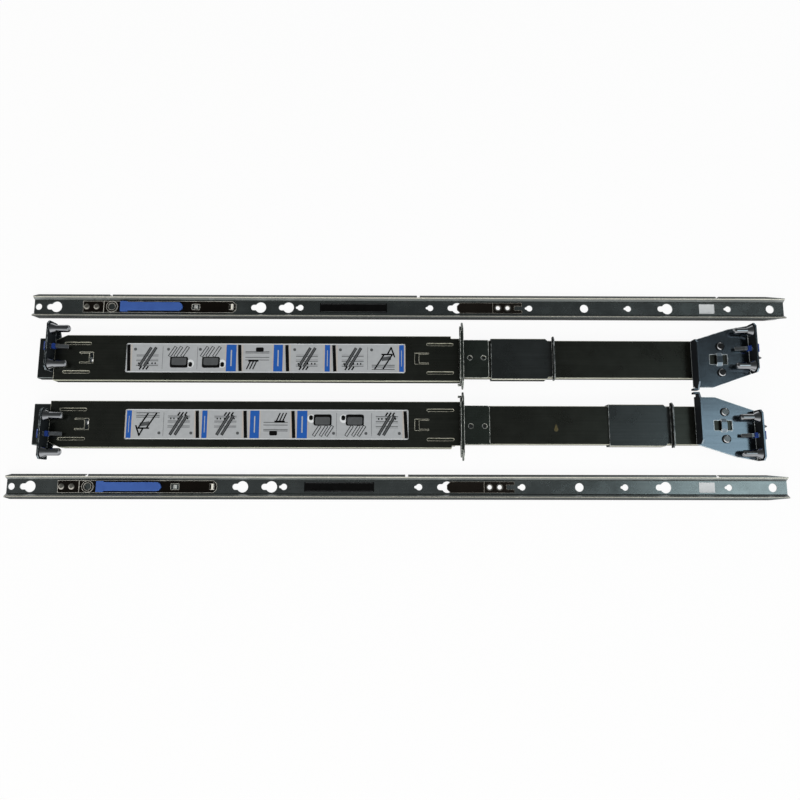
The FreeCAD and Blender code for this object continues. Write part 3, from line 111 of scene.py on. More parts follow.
# Rolling streaks along the sheet and a cloudy change of tone.
rolled_grain, given, result = group_with(
    "rolled_grain", {"Across": 700.0, "Along": 12.0}, ("Streak", "Mottle"))
place = on_piece(rolled_grain)
stretch = rolled_grain.nodes.new("ShaderNodeCombineXYZ")
for axis, share in (("X", "Along"), ("Y", "Across"), ("Z", "Across")):
    rolled_grain.links.new(given[share], stretch.inputs[axis])
drawn = rolled_grain.nodes.new("ShaderNodeVectorMath")
drawn.operation = "MULTIPLY"
rolled_grain.links.new(place, drawn.inputs[0])
rolled_grain.links.new(stretch.outputs["Vector"], drawn.inputs[1])
streak = cloudy(rolled_grain, drawn.outputs["Vector"], scale=1.0, detail=4.0)
mottle = cloudy(rolled_grain, place, scale=55.0, detail=5.0, roughness=0.62)
rolled_grain.links.new(streak, result["Streak"])
rolled_grain.links.new(mottle, result["Mottle"])

# Patchy wear and a painted highlight along sharp edges, between the heights Low and High.
edge_wear, given, result = group_with(
    "edge_wear", {"Radius": 0.0006, "Patches": 0.35, "Spots": 90.0, "Low": -1.0, "High": 1.0}, ("WearAndHighlight",))
rounded = edge_wear.nodes.new("ShaderNodeBevel")
rounded.samples = 8
edge_wear.links.new(given["Radius"], rounded.inputs["Radius"])
facing = edge_wear.nodes.new("ShaderNodeNewGeometry")
turned = edge_wear.nodes.new("ShaderNodeVectorMath")
turned.operation = "DOT_PRODUCT"
edge_wear.links.new(rounded.outputs["Normal"], turned.inputs[0])
edge_wear.links.new(facing.outputs["Normal"], turned.inputs[1])
sharpness = ranged(edge_wear, turned.outputs["Value"], 0.995, 0.86)
place = on_piece(edge_wear)
rubbing = cloudy(edge_wear, place, scale=given["Spots"], detail=3.0)
patchy = ranged(edge_wear, rubbing, given["Patches"], 0.62)
worn_and_lit_edge = reckon(edge_wear, "MULTIPLY", sharpness, patchy)
height = split(edge_wear, place)["Z"]
above = reckon(edge_wear, "GREATER_THAN", height, given["Low"])
below = reckon(edge_wear, "LESS_THAN", height, given["High"])
between = reckon(edge_wear, "MULTIPLY", above, below)
edge_wear.links.new(reckon(edge_wear, "MULTIPLY", worn_and_lit_edge, between), result["WearAndHighlight"])

# Painted highlight on the bends along a channel and on the top of each side near the height
# Shoulder, and painted shade on the upright faces below and above them.
shoulder_reach = 0.0014
bend_reach = 0.0025
bend_sheen, given, result = group_with("bend_sheen", {"Shoulder": 1.0}, ("Sheen", "FlankShade"))
facing = split(bend_sheen, on_piece(bend_sheen, "Normal"))
height = split(bend_sheen, on_piece(bend_sheen))["Z"]
sideways = reckon(bend_sheen, "ABSOLUTE", facing["Y"])
rising = ranged(bend_sheen, sideways, 0.2, 0.55)
falling = ranged(bend_sheen, sideways, 0.97, 0.80)
bend = reckon(bend_sheen, "MULTIPLY", rising, falling)
side_face = ranged(bend_sheen, sideways, 0.90, 0.98)
near_shoulder = reckon(bend_sheen, "COMPARE", height, given["Shoulder"], shoulder_reach)
lit_side = reckon(bend_sheen, "MULTIPLY", side_face, near_shoulder)
lit = reckon(bend_sheen, "MAXIMUM", bend, lit_side)
ceiling = reckon(bend_sheen, "ADD", given["Shoulder"], bend_reach)
low_enough = reckon(bend_sheen, "LESS_THAN", height, ceiling)
upright = ranged(bend_sheen, reckon(bend_sheen, "ABSOLUTE", facing["Z"]), 0.40, 0.15)
shaded = reckon(bend_sheen, "SUBTRACT", upright, lit_side)
bend_sheen.links.new(reckon(bend_sheen, "MULTIPLY", lit, low_enough), result["Sheen"])
bend_sheen.links.new(reckon(bend_sheen, "MAXIMUM", shaded, 0.0), result["FlankShade"])


def bare_skin(name):
    skin = bpy.data.materials.new(name)
    skin.use_nodes = True
    return skin, skin.node_tree, skin.node_tree.nodes["Principled BSDF"].inputs


def placed(tree, group, **settings):
    node = tree.nodes.new("ShaderNodeGroup")
    node.node_tree = group
    for socket, value in settings.items():
        node.inputs[socket].default_value = value
    return node.outputs


def embossed(tree, height, strength, depth):
    relief = tree.nodes.new("ShaderNodeBump")
    relief.inputs["Strength"].default_value = strength
    relief.inputs["Distance"].default_value = depth
    tree.links.new(height, relief.inputs["Height"])
    return relief.outputs["Normal"]


def sheet_steel(name, dark, pale, wear_and_highlight_tone, metallic, smooth, coarse, across=700.0, along=12.0, radius=0.0006,
                patches=0.1, spots=90.0, low=-1.0, high=1.0, specular=0.5, bare_or_painted_metallic=0.3,
                sheen=None, flank_shade=None, shoulder=1.0, pale_above=None):
    skin, tree, shader = bare_skin(name)
    shader["Specular IOR Level"].default_value = specular
    grain = placed(tree, rolled_grain, Across=across, Along=along)
    # Patchy wear with a painted highlight along sharp edges, in the worn tone.
    wear = placed(tree, edge_wear, Radius=radius, Patches=patches, Spots=spots, Low=low, High=high)["WearAndHighlight"]
    coat_and_painted_light = blended(tree, reckon(tree, "MULTIPLY", grain["Streak"], grain["Mottle"]), dark, pale)
    # Above the height given, the surface takes the worn tone.
    if pale_above is not None:
        raised = reckon(tree, "GREATER_THAN", split(tree, on_piece(tree))["Z"], pale_above)
        wear = reckon(tree, "MAXIMUM", raised, wear)
    unplated_or_painted_light = wear
    # Painted shade on the upright faces and a painted highlight on the bends, laid over the coat with a low
    # metallic.
    if flank_shade is not None:
        sides = placed(tree, bend_sheen, Shoulder=shoulder)
        for mask, colour in (("FlankShade", flank_shade), ("Sheen", sheen or pale)):
            coat_and_painted_light = blended(tree, sides[mask], coat_and_painted_light, colour)
            unplated_or_painted_light = reckon(tree, "MAXIMUM", sides[mask], unplated_or_painted_light)
    metal = ranged(tree, unplated_or_painted_light, 0.0, 1.0, low=metallic, high=min(metallic, bare_or_painted_metallic))
    tree.links.new(blended(tree, wear, coat_and_painted_light, wear_and_highlight_tone), shader["Base Color"])
    tree.links.new(metal, shader["Metallic"])
    gloss = ranged(tree, grain["Mottle"], 0.3, 0.7, low=smooth, high=coarse)
    tree.links.new(gloss, shader["Roughness"])
    tree.links.new(embossed(tree, grain["Streak"], strength=0.35, depth=0.00002), shader["Normal"])
    return skin


def dress(skin, *pieces):
    for piece in pieces:
        for side in ("right", "left"):
            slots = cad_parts[f"{side}_{piece}"].data.materials
            slots.clear()
            slots.append(skin)


section_shoulder = 0.0098
section_foot = 0.004
# Worn edges with a painted highlight, a painted highlight on the bends and painted shade on the upright
# faces.
black_zinc = sheet_steel("black_zinc", dark=(0.046, 0.050, 0.043), pale=(0.110, 0.116, 0.100),
                         wear_and_highlight_tone=(0.90, 0.88, 0.74), metallic=0.92, smooth=0.24, coarse=0.36,
                         radius=0.0008, patches=0.0, low=section_foot, specular=0.0, bare_or_painted_metallic=0.05,
                         sheen=(0.46, 0.47, 0.38), flank_shade=(0.016, 0.018, 0.015), shoulder=section_shoulder)
dress(black_zinc, "front_section")


# Fitting guide on each front section: a long film label stuck to the web, printed with
# black and blue step bars and a plain line picture of a rail or a case in each step.
label_length = 0.2497
label_width = 0.0266
label_middle = {"right": -0.1244, "left": -0.1215}
label_corner = 0.0012
label_film = 0.00012
label_ink = 0.00003
film_layer = (0.0, label_film)
print_layer = (label_film, label_film + label_ink)
line_layer = (label_film, label_film + 2 * label_ink)
detail_layer = (label_film + 2 * label_ink, label_film + 3 * label_ink)
top_layer = (label_film + 3 * label_ink, label_film + 4 * label_ink)


def printed(name, dark, pale, rough, specular=0.4):
    ink, tree, shader = bare_skin(name)
    shader["Specular IOR Level"].default_value = specular
    cloud = cloudy(tree, on_piece(tree), scale=260.0, detail=4.0)
    tree.links.new(blended(tree, cloud, dark, pale), shader["Base Color"])
    gloss = ranged(tree, cloud, 0.0, 1.0, low=rough - 0.08, high=rough + 0.08)
    tree.links.new(gloss, shader["Roughness"])
    return ink


def bar(mesh, along, across, length, width, layer, ink, turn=0.0):
    low, high = layer
    spot = (Matrix.Translation((along, across, (low + high) / 2))
            @ Matrix.Rotation(math.radians(turn), 4, "Z")
            @ Matrix.Diagonal((length, width, high - low, 1.0)))
    made = bmesh.ops.create_cube(mesh, size=1.0, matrix=spot)
    for face in {face for vert in made["verts"] for face in vert.link_faces}:
        face.material_index = ink
    return made["verts"]


def cut_corners(mesh, verts, radius, segments):
    upright_edges = {edge for vert in verts for edge in vert.link_edges
                     if abs(edge.verts[0].co.z - edge.verts[1].co.z) > 1e-6}
    bmesh.ops.bevel(mesh, geom=list(upright_edges), offset=radius, affect="EDGES", segments=segments,
                    profile=0.5, material=-1)


def sticker(name, mesh, spot, inks, body):
    mesh.transform(spot)
    data = bpy.data.meshes.new(name)
    mesh.to_mesh(data)
    mesh.free()
    for ink in inks:
        data.materials.append(ink)
    piece = bpy.data.objects.new(name, data)
    bpy.context.scene.collection.objects.link(piece)
    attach(piece, body)


film_grey = printed("film_grey", (0.37, 0.385, 0.40), (0.45, 0.465, 0.48), rough=0.42)
ink_black = printed("ink_black", (0.002, 0.002, 0.002), (0.005, 0.005, 0.005), rough=0.40, specular=0.15)
ink_blue = printed("ink_blue", (0.012, 0.085, 0.36), (0.020, 0.110, 0.43), rough=0.40)
ink_grey = printed("ink_grey", (0.060, 0.064, 0.066), (0.10, 0.105, 0.11), rough=0.42)
ink_sand = printed("ink_sand", (0.44, 0.40, 0.37), (0.50, 0.46, 0.42), rough=0.42)
ink_white = printed("ink_white", (0.66, 0.68, 0.69), (0.74, 0.76, 0.77), rough=0.42)
guide_inks = (film_grey, ink_black, ink_blue, ink_grey, ink_sand, ink_white)
film, black, blue, grey, sand, white = range(len(guide_inks))

label_start = -label_length / 2
bar_width = label_width - 0.0024
black_bars = (0.0024, 0.1016, 0.1440, 0.1862)
blue_bars = ((0.0939, 0.0090), (0.1358, 0.0082), (0.1799, 0.0046), (0.2464, 0.0043))
rules = (0.0326, 0.0636, 0.2160)
rail_steps = (0.0185, 0.1610, 0.2020)
server_steps = (0.0480, 0.0765)
level_step = 0.1172
stand_step = 0.2300
stand_legs = ((-0.0036, -0.0034, 0.0160, 58.0), (0.0040, -0.0030, 0.0160, 58.0),
              (0.0034, 0.0036, 0.0100, 0.0), (0.0054, 0.0068, 0.0080, 62.0),
              (0.0086, 0.0056, 0.0096, -70.0))
for side in ("right", "left"):
    low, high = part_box(f"{side}_front_section")
    mesh = bmesh.new()
    sheet = bar(mesh, 0.0, 0.0, label_length, label_width, film_layer, film)
    cut_corners(mesh, sheet, label_corner, 3)
    for edge in (-1, 1):
        bar(mesh, 0.0, edge * (label_width / 2 - 0.0005), label_length - 0.003, 0.0005, print_layer, white)
    for along in black_bars:
        bar(mesh, label_start + along + 0.0022, 0.0, 0.0014, bar_width, print_layer, sand)
        bar(mesh, label_start + along, 0.0, 0.0030, bar_width, line_layer, black, 3.0)
    for along, length in blue_bars:
        bar(mesh, label_start + along, 0.0, length + 0.0026, bar_width, print_layer, sand)
        bar(mesh, label_start + along, 0.0, length, bar_width + 0.0002, line_layer, blue)
        bar(mesh, label_start + along, 0.0, length * 0.12, label_width * 0.55, detail_layer, film)
    for along in rules:
        bar(mesh, label_start + along, 0.0, 0.0003, label_width - 0.0060, print_layer, grey)
    for along in (*rail_steps, *server_steps, stand_step):
        dot = bar(mesh, label_start + along - 0.0105, 0.0078, 0.0026, 0.0026, print_layer, grey)
        cut_corners(mesh, dot, 0.0011, 4)
    for along in rail_steps:
        middle = label_start + along
        for across in (-0.0072, -0.0028, 0.0016):
            bar(mesh, middle + 0.0006, across, 0.0196, 0.0006, print_layer, grey)
            bar(mesh, middle + 0.0006, across + 0.0013, 0.0196, 0.0003, print_layer, grey)
        for shift in (-0.0014, 0.0030):
            bar(mesh, middle + shift, 0.0008, 0.0200, 0.0026, line_layer, black, 60.0)
            bar(mesh, middle + shift, 0.0008, 0.0192, 0.0014, detail_layer, grey, 60.0)
        for shift in (-0.0070, -0.0042, -0.0014, 0.0014, 0.0050, 0.0078):
            bar(mesh, middle + shift, -0.0050, 0.0012, 0.0014, line_layer, black)
        for shift in (-0.0052, -0.0022, 0.0008):
            bar(mesh, middle + shift, -0.0092, 0.0036, 0.0013, line_layer, black, 56.0)
    for along in server_steps:
        middle = label_start + along
        for shift in (-0.0066, -0.0016, 0.0044):
            bar(mesh, middle + shift, 0.0056, 0.0108, 0.0030, line_layer, black, 58.0)
            bar(mesh, middle + shift, 0.0056, 0.0100, 0.0016, detail_layer, film, 58.0)
        case = bar(mesh, middle - 0.0006, -0.0040, 0.0160, 0.0100, detail_layer, black)
        cut_corners(mesh, case, 0.0018, 3)
        lid = bar(mesh, middle - 0.0006, -0.0032, 0.0132, 0.0068, top_layer, grey)
        cut_corners(mesh, lid, 0.0012, 3)
        wheel = bar(mesh, middle + 0.0094, -0.0052, 0.0066, 0.0074, detail_layer, white)
        cut_corners(mesh, wheel, 0.0031, 5)
        arrow = bar(mesh, middle + 0.0096, -0.0060, 0.0034, 0.0044, top_layer, black)
        cut_corners(mesh, arrow, 0.0015, 4)
    middle = label_start + level_step
    for across in (0.0058, 0.0046, 0.0006, -0.0018):
        bar(mesh, middle, across, 0.0214, 0.0006, print_layer, grey)
    clip = bar(mesh, middle + 0.0020, 0.0078, 0.0070, 0.0040, line_layer, black)
    cut_corners(mesh, clip, 0.0012, 3)
    for shift in (-0.0076, -0.0048, -0.0020):
        bar(mesh, middle + shift, -0.0062, 0.0088, 0.0011, line_layer, black, 66.0)
    bar(mesh, middle - 0.0034, -0.0024, 0.0092, 0.0018, line_layer, black)
    middle = label_start + stand_step
    for across in (-0.0062, -0.0078, -0.0100):
        bar(mesh, middle, across, 0.0205, 0.0007, print_layer, grey)
    for shift, across, length, turn in stand_legs:
        bar(mesh, middle + shift, across, length, 0.0013, line_layer, black, turn)
    bar(mesh, middle + 0.0026, -0.0002, 0.0084, 0.0034, line_layer, grey, 8.0)
    half_turn = Matrix.Rotation(math.pi if side == "left" else 0.0, 4, "Z")
    spot = Matrix.Translation((label_middle[side], (low.y + high.y) / 2, high.z)) @ half_turn
    sticker(f"{side}_fitting_guide", mesh, spot, guide_inks, "root")


# Front brackets: the one-unit flanges that stand behind the rack's front post, pressed from
# heavier sheet and spot welded under the front sections, in a slightly bluer plating.
# Painted shade on the upright faces, a painted highlight in the pale tone on the bends, and worn edges with
# a painted highlight.
blue_zinc = sheet_steel("blue_zinc", dark=(0.045, 0.054, 0.060), pale=(0.120, 0.144, 0.160),
                        wear_and_highlight_tone=(0.76, 0.84, 0.86), metallic=0.9, smooth=0.18, coarse=0.30,
                        across=900.0, along=20.0, radius=0.0005, patches=0.35, spots=300.0,
                        specular=0.0, bare_or_painted_metallic=0.05, flank_shade=(0.016, 0.019, 0.021))
dress(blue_zinc, "front_bracket")


# Locating pins and pivot pins: turned steel pins riveted into each flange and its latch ears,
# bright plated, with fine turning marks round the shank.
def bright_steel(name, colour, shade, smooth, coarse, fine):
    skin, tree, shader = bare_skin(name)
    shader["Metallic"].default_value = 1.0
    grain = placed(tree, rolled_grain, Across=60.0, Along=fine)
    tree.links.new(blended(tree, grain["Mottle"], shade, colour), shader["Base Color"])
    gloss = ranged(tree, grain["Streak"], 0.3, 0.7, low=smooth, high=coarse)
    tree.links.new(gloss, shader["Roughness"])
    tree.links.new(embossed(tree, grain["Streak"], strength=0.2, depth=0.00001), shader["Normal"])
    return skin


turned_steel = bright_steel("turned_steel", colour=(0.42, 0.43, 0.45), shade=(0.26, 0.27, 0.28),
                            smooth=0.05, coarse=0.11, fine=2500.0)
dress(turned_steel, "front_pins", "rear_pins", "front_latch_pin", "rear_latch_pin")


# Latches and buttons: a flat plated hook on a pivot at each flange that snaps over the rack
# post, with a moulded blue push button on its heel.
def moulded(name, dark, pale, rough, pebbles):
    skin, tree, shader = bare_skin(name)
    shader["Specular IOR Level"].default_value = 0.45
    place = on_piece(tree)
    pebble = cloudy(tree, place, scale=pebbles, detail=2.0)
    # Edge mask of wear with a painted highlight, laid on in a lighter tone.
    wear = placed(tree, edge_wear, Radius=0.0004, Patches=0.0)["WearAndHighlight"]
    tone = blended(tree, cloudy(tree, place, scale=120.0, detail=3.0), dark, pale)
    rubbed_and_lit = tuple(min(1.0, 1.9 * channel) for channel in pale)
    tree.links.new(blended(tree, wear, tone, rubbed_and_lit), shader["Base Color"])
    gloss = ranged(tree, pebble, 0.0, 1.0, low=rough - 0.06, high=rough + 0.06)
    tree.links.new(gloss, shader["Roughness"])
    tree.links.new(embossed(tree, pebble, strength=0.25, depth=0.00003), shader["Normal"])
    return skin


latch_zinc = sheet_steel("latch_zinc", dark=(0.12, 0.13, 0.14), pale=(0.26, 0.28, 0.29),
                         wear_and_highlight_tone=(0.66, 0.68, 0.70), metallic=0.8, smooth=0.22, coarse=0.36,
                         across=1400.0, along=60.0, radius=0.0003)
button_blue = moulded("button_blue", dark=(0.012, 0.036, 0.19), pale=(0.020, 0.055, 0.28),
                      rough=0.34, pebbles=2400.0)
dress(latch_zinc, "front_latch", "rear_latch")
dress(button_blue, "front_button", "rear_button")


# Slide members: the steel cabinet member that is fixed in the front section and the middle
# member that runs in it, cold rolled with a groove along each flange for the balls.
# The cabinet member carries a painted highlight on its bends and painted shade on its upright faces.
cabinet_black = sheet_steel("cabinet_black", dark=(0.046, 0.052, 0.052), pale=(0.095, 0.104, 0.104),
                            wear_and_highlight_tone=(0.50, 0.54, 0.54), metallic=0.92, smooth=0.24, coarse=0.38,
                            specular=0.0, bare_or_painted_metallic=0.05, sheen=(0.22, 0.25, 0.25), flank_shade=(0.016, 0.018, 0.018))
slide_zinc = sheet_steel("slide_zinc", dark=(0.12, 0.135, 0.145), pale=(0.26, 0.285, 0.30),
                         wear_and_highlight_tone=(0.66, 0.68, 0.69), metallic=0.85, smooth=0.24, coarse=0.38,
                         across=1100.0, along=10.0)
dress(cabinet_black, "cabinet_member")
dress(slide_zinc, "middle_member")


# Ball cages: thin steel strips folded round the members, with a row of pressed windows, and
# the hardened balls that they hold in the grooves.
cage_strip = sheet_steel("cage_strip", dark=(0.22, 0.23, 0.23), pale=(0.40, 0.41, 0.41),
                         wear_and_highlight_tone=(0.70, 0.71, 0.71), metallic=0.9, smooth=0.28, coarse=0.44,
                         across=1300.0, along=24.0, radius=0.0002)
ball_steel = bright_steel("ball_steel", colour=(0.62, 0.63, 0.64), shade=(0.50, 0.51, 0.53),
                          smooth=0.06, coarse=0.12, fine=400.0)
dress(cage_strip, "outer_cage", "inner_cage")
dress(ball_steel, "outer_balls", "inner_balls")


# Rear extensions: shallow black channels that slide out of the front sections to reach the
# rack's rear post, rolled from the same dark sheet.
extension_shoulder = 0.0085
extension_foot = 0.003
# Painted highlight on the bends, painted shade on the upright faces, and worn edges with a painted
# highlight.
olive_zinc = sheet_steel("olive_zinc", dark=(0.046, 0.049, 0.042), pale=(0.092, 0.097, 0.083),
                         wear_and_highlight_tone=(0.80, 0.79, 0.66), metallic=0.92, smooth=0.24, coarse=0.36,
                         radius=0.0007, low=extension_foot, specular=0.0, bare_or_painted_metallic=0.05,
                         sheen=(0.48, 0.48, 0.40), flank_shade=(0.014, 0.015, 0.013), shoulder=extension_shoulder)
dress(olive_zinc, "rear_extension")


# Paint mark on the left extension: a small drop of brown lacquer, a thin film on the web with
# its point towards the other rail and its rim drawn in towards the top.
lacquer = printed("lacquer", (0.045, 0.040, 0.016), (0.105, 0.084, 0.036), rough=0.40)
drop_place = (0.1344, -0.0311)
drop_radius = 0.0019
drop_tip = 0.0050
drop_film = 0.00008
drop_top = 0.85
drop_start = math.radians(155.0)
drop_sweep = math.radians(210.0)
drop_steps = 10
extension_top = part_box("left_rear_extension")[1].z
mesh = bmesh.new()
first = mesh.verts.new((drop_radius * math.cos(drop_start), drop_radius * math.sin(drop_start), 0.0))
bmesh.ops.spin(mesh, geom=[first], cent=(0.0, 0.0, 0.0), axis=(0.0, 0.0, 1.0), angle=drop_sweep,
               steps=drop_steps, use_duplicate=False)
mesh.verts.new((0.0, drop_tip, 0.0))
foot = mesh.faces.new(mesh.verts[:])
raised = bmesh.ops.extrude_face_region(mesh, geom=[foot])
crest = [part for part in raised["geom"] if isinstance(part, bmesh.types.BMVert)]
bmesh.ops.scale(mesh, vec=(drop_top, drop_top, 1.0), verts=crest)
bmesh.ops.translate(mesh, vec=(0.0, 0.0, drop_film), verts=crest)
bmesh.ops.recalc_face_normals(mesh, faces=mesh.faces)
spot = Matrix.Translation((*drop_place, extension_top))
sticker("left_paint_mark", mesh, spot, (lacquer,), "left_depth")


# Mid plates: small plates of dark plated sheet, fixed on the extensions right behind the front
# sections, with two round holes and a thin flange that stands across the rail.
plate_shoulder = 0.0092
# Painted highlight on the bends, painted shade on the upright faces, and worn edges and hole rims with a
# painted highlight.
mid_zinc = sheet_steel("mid_zinc", dark=(0.060, 0.074, 0.064), pale=(0.130, 0.155, 0.136),
                       wear_and_highlight_tone=(0.92, 0.95, 0.90), metallic=0.92, smooth=0.22, coarse=0.36,
                       radius=0.0009, patches=0.08, spots=330.0, specular=0.0, bare_or_painted_metallic=0.05,
                       sheen=(0.62, 0.61, 0.50), flank_shade=(0.014, 0.016, 0.015), shoulder=plate_shoulder)
dress(mid_zinc, "mid_plate")


# Collars: sleeves folded from sheet steel, which slide along the extensions and carry a thin
# standing flange at one end, in a bluish black plating.
collar_shoulder = 0.0098
collar_foot = 0.004
# Painted highlight on the bends, painted shade on the upright faces, and worn edges with a painted
# highlight.
collar_zinc = sheet_steel("collar_zinc", dark=(0.066, 0.074, 0.074), pale=(0.135, 0.150, 0.152),
                          wear_and_highlight_tone=(0.80, 0.85, 0.85), metallic=0.92, smooth=0.24, coarse=0.36,
                          patches=0.30, spots=260.0, low=collar_foot, specular=0.0, bare_or_painted_metallic=0.05,
                          sheen=(0.58, 0.58, 0.50), flank_shade=(0.012, 0.013, 0.013), shoulder=collar_shoulder)
dress(collar_zinc, "collar")


# Rear brackets: the heavier pressed plates with the rear flange and its front stiffening
# flange, screwed to the extensions and plated blue-grey. The upright faces of the flanges carry
# painted shade and the bends a painted highlight in the pale tone; edges above the plate get no
# wear or painted edge highlight, so the flanges keep a dark edge.
plate_top = 0.0125
bracket_zinc = sheet_steel("bracket_zinc", dark=(0.110, 0.137, 0.162), pale=(0.250, 0.310, 0.362),
                           wear_and_highlight_tone=(0.86, 0.92, 0.94), metallic=0.97, smooth=0.13, coarse=0.21,
                           across=850.0, along=16.0, radius=0.0011, patches=0.0, spots=220.0, high=plate_top,
                           specular=0.0, bare_or_painted_metallic=0.05, flank_shade=(0.014, 0.016, 0.018))
dress(bracket_zinc, "rear_bracket")


# Screws and studs of the rear brackets: low bright steel screw heads in the plate, with painted
# shade at their seat and on top, and a small pointed stud behind the rear flange.
def ramped(tree, value, stops):
    node = tree.nodes.new("ShaderNodeValToRGB")
    elements = node.color_ramp.elements
    while len(elements) < len(stops):
        elements.new(1.0)
    for element, (where, colour) in zip(elements, stops):
        element.position = where
        element.color = (*colour, 1.0)
    tree.links.new(value, node.inputs["Fac"])
    return node.outputs["Color"]


crown_height = 0.0010
# Painted shade rings that multiply the head: dark at the seat below the top millimetre and on the flat top.
painted_shade_stops = ((0.40, (0.02, 0.02, 0.02)), (0.50, (1.0, 1.0, 1.0)),
              (0.88, (1.0, 1.0, 1.0)), (0.96, (0.12, 0.12, 0.12)))
screw_steel = bright_steel("screw_steel", colour=(0.88, 0.89, 0.90), shade=(0.66, 0.67, 0.68),
                           smooth=0.10, coarse=0.18, fine=300.0)
screw_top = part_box("right_rear_screws")[1].z
tree = screw_steel.node_tree
shader = tree.nodes["Principled BSDF"].inputs
polished = shader["Base Color"].links[0].from_socket
crown = ranged(tree, split(tree, on_piece(tree))["Z"], screw_top - crown_height, screw_top)
painted_shade_rings = ramped(tree, crown, painted_shade_stops)
tree.links.new(blended(tree, 1.0, painted_shade_rings, polished, "MULTIPLY"), shader["Base Color"])
dress(screw_steel, "rear_screws", "rear_stud")


# Inner rails: the members that are fixed to the server, roll formed from zinc-plated strip
# with a flat web and a rounded raceway along both edges. Across each raceway the colour is
# painted in bands: painted shade at the foot of the slope and at the outer edge, lighter
# painted tones on the slope and crest, and a painted highlight line on the inner lip.
rail_zinc = sheet_steel("rail_zinc", dark=(0.20, 0.225, 0.222), pale=(0.39, 0.43, 0.43),
                        wear_and_highlight_tone=(0.66, 0.70, 0.68), metallic=1.0, smooth=0.20, coarse=0.32,
                        across=800.0, along=8.0, radius=0.0002, patches=0.45)
low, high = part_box("right_inner_rail")
rail_line = (low.y + high.y) / 2
rail_half = (high.y - low.y) / 2
raceway_start = 0.0056
raceway_edge = 0.0004
raceway_metal = 0.35
# Painted shade and painted highlight bands across each raceway, by distance from the rail's middle line.
painted_light_stops = ((0.52, (0.030, 0.034, 0.031)), (0.575, (0.014, 0.017, 0.015)), (0.61, (0.20, 0.22, 0.22)),
              (0.73, (0.27, 0.285, 0.275)), (0.755, (0.70, 0.68, 0.59)), (0.80, (0.70, 0.68, 0.59)),
              (0.825, (0.14, 0.15, 0.145)), (0.92, (0.15, 0.16, 0.16)), (0.95, (0.016, 0.017, 0.016)))
tree = rail_zinc.node_tree
shader = tree.nodes["Principled BSDF"].inputs
plain = shader["Base Color"].links[0].from_socket
tree.nodes.remove(shader["Metallic"].links[0].from_node)
outward = reckon(tree, "ABSOLUTE", split(tree, on_piece(tree))["Y"])
off_line = reckon(tree, "ABSOLUTE", reckon(tree, "SUBTRACT", outward, rail_line))
painted_light_bands = ramped(tree, ranged(tree, off_line, 0.0, rail_half), painted_light_stops)
raceway = ranged(tree, off_line, raceway_start, raceway_start + raceway_edge)
tree.links.new(blended(tree, raceway, plain, painted_light_bands), shader["Base Color"])
metal = ranged(tree, raceway, 0.0, 1.0, low=1.0, high=raceway_metal)
tree.links.new(metal, shader["Metallic"])
dress(rail_zinc, "inner_rail")


# Release springs: a long blued spring strip riveted along the inner rail's front, its free
# arm lying against the web and pale where it stands highest.
spring_rise = 0.0013
spring_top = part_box("right_strip_root")[1].z + spring_rise
blued_spring = sheet_steel("blued_spring", dark=(0.005, 0.004, 0.003), pale=(0.014, 0.010, 0.008),
                           wear_and_highlight_tone=(0.92, 0.90, 0.82), metallic=0.3, smooth=0.20, coarse=0.32,
                           across=900.0, along=10.0, radius=0.0008, patches=-0.2, specular=0.2,
                           bare_or_painted_metallic=0.05, pale_above=spring_top)
dress(blued_spring, "strip_root", "release_arm")


# Release tabs: slides with a gripping head, moulded in blue plastic. They lie along the spring
# strip and lift its arm when they are pushed.
tab_blue = moulded("tab_blue", dark=(0.036, 0.088, 0.31), pale=(0.056, 0.130, 0.42),
                   rough=0.38, pebbles=2000.0)
dress(tab_blue, "release_tab")


# Lock leaves: dark leaves of spring steel riveted over one keyhole of each inner rail, which
# hold the server's standoff until they are lifted.
leaf_bronze = sheet_steel("leaf_bronze", dark=(0.010, 0.008, 0.006), pale=(0.028, 0.022, 0.017),
                          wear_and_highlight_tone=(0.66, 0.62, 0.54), metallic=0.4, smooth=0.20, coarse=0.32,
                          across=900.0, along=14.0, radius=0.0005, specular=0.35)
dress(leaf_bronze, "lock_leaf_root", "lock_leaf")


# Rivets: domed steel rivets in a faintly yellow plating, which hold the spring strip and the
# lock leaf to the web.
rivet_steel = bright_steel("rivet_steel", colour=(0.66, 0.63, 0.56), shade=(0.46, 0.44, 0.39),
                           smooth=0.18, coarse=0.30, fine=300.0)
dress(rivet_steel, "inner_rivets")


# Catch of each release spring: a small arched lance of the inner rail's web, which stands up
# through the window of the spring's arm, in a pale steel.
catch_zinc = sheet_steel("catch_zinc", dark=(0.62, 0.63, 0.60), pale=(0.84, 0.85, 0.82),
                         wear_and_highlight_tone=(0.92, 0.92, 0.90), metallic=0.5, smooth=0.16, coarse=0.26,
                         across=1200.0, along=80.0, radius=0.0002)
catch_place = 0.1485
catch_inside = 0.0012
catch_sheet = 0.0005
catch_half = 0.0016
catch_sunk = 0.0002
catch_steps = 12
web_top = 0.0010
for side in ("right", "left"):
    low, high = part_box(f"{side}_inner_rail")
    mesh = bmesh.new()
    corners = [mesh.verts.new((-along, across, 0.0)) for along, across in (
        (catch_inside, -catch_half), (catch_inside + catch_sheet, -catch_half),
        (catch_inside + catch_sheet, catch_half), (catch_inside, catch_half))]
    foot = mesh.faces.new(corners)
    bmesh.ops.spin(mesh, geom=[foot], cent=(0.0, 0.0, 0.0), axis=(0.0, 1.0, 0.0), angle=math.pi,
                   steps=catch_steps, use_duplicate=False)
    bmesh.ops.recalc_face_normals(mesh, faces=mesh.faces)
    spot = Matrix.Translation((low.x + catch_place, (low.y + high.y) / 2, low.z + web_top - catch_sunk))
    sticker(f"{side}_release_catch", mesh, spot, (catch_zinc,), f"{side}_inner")


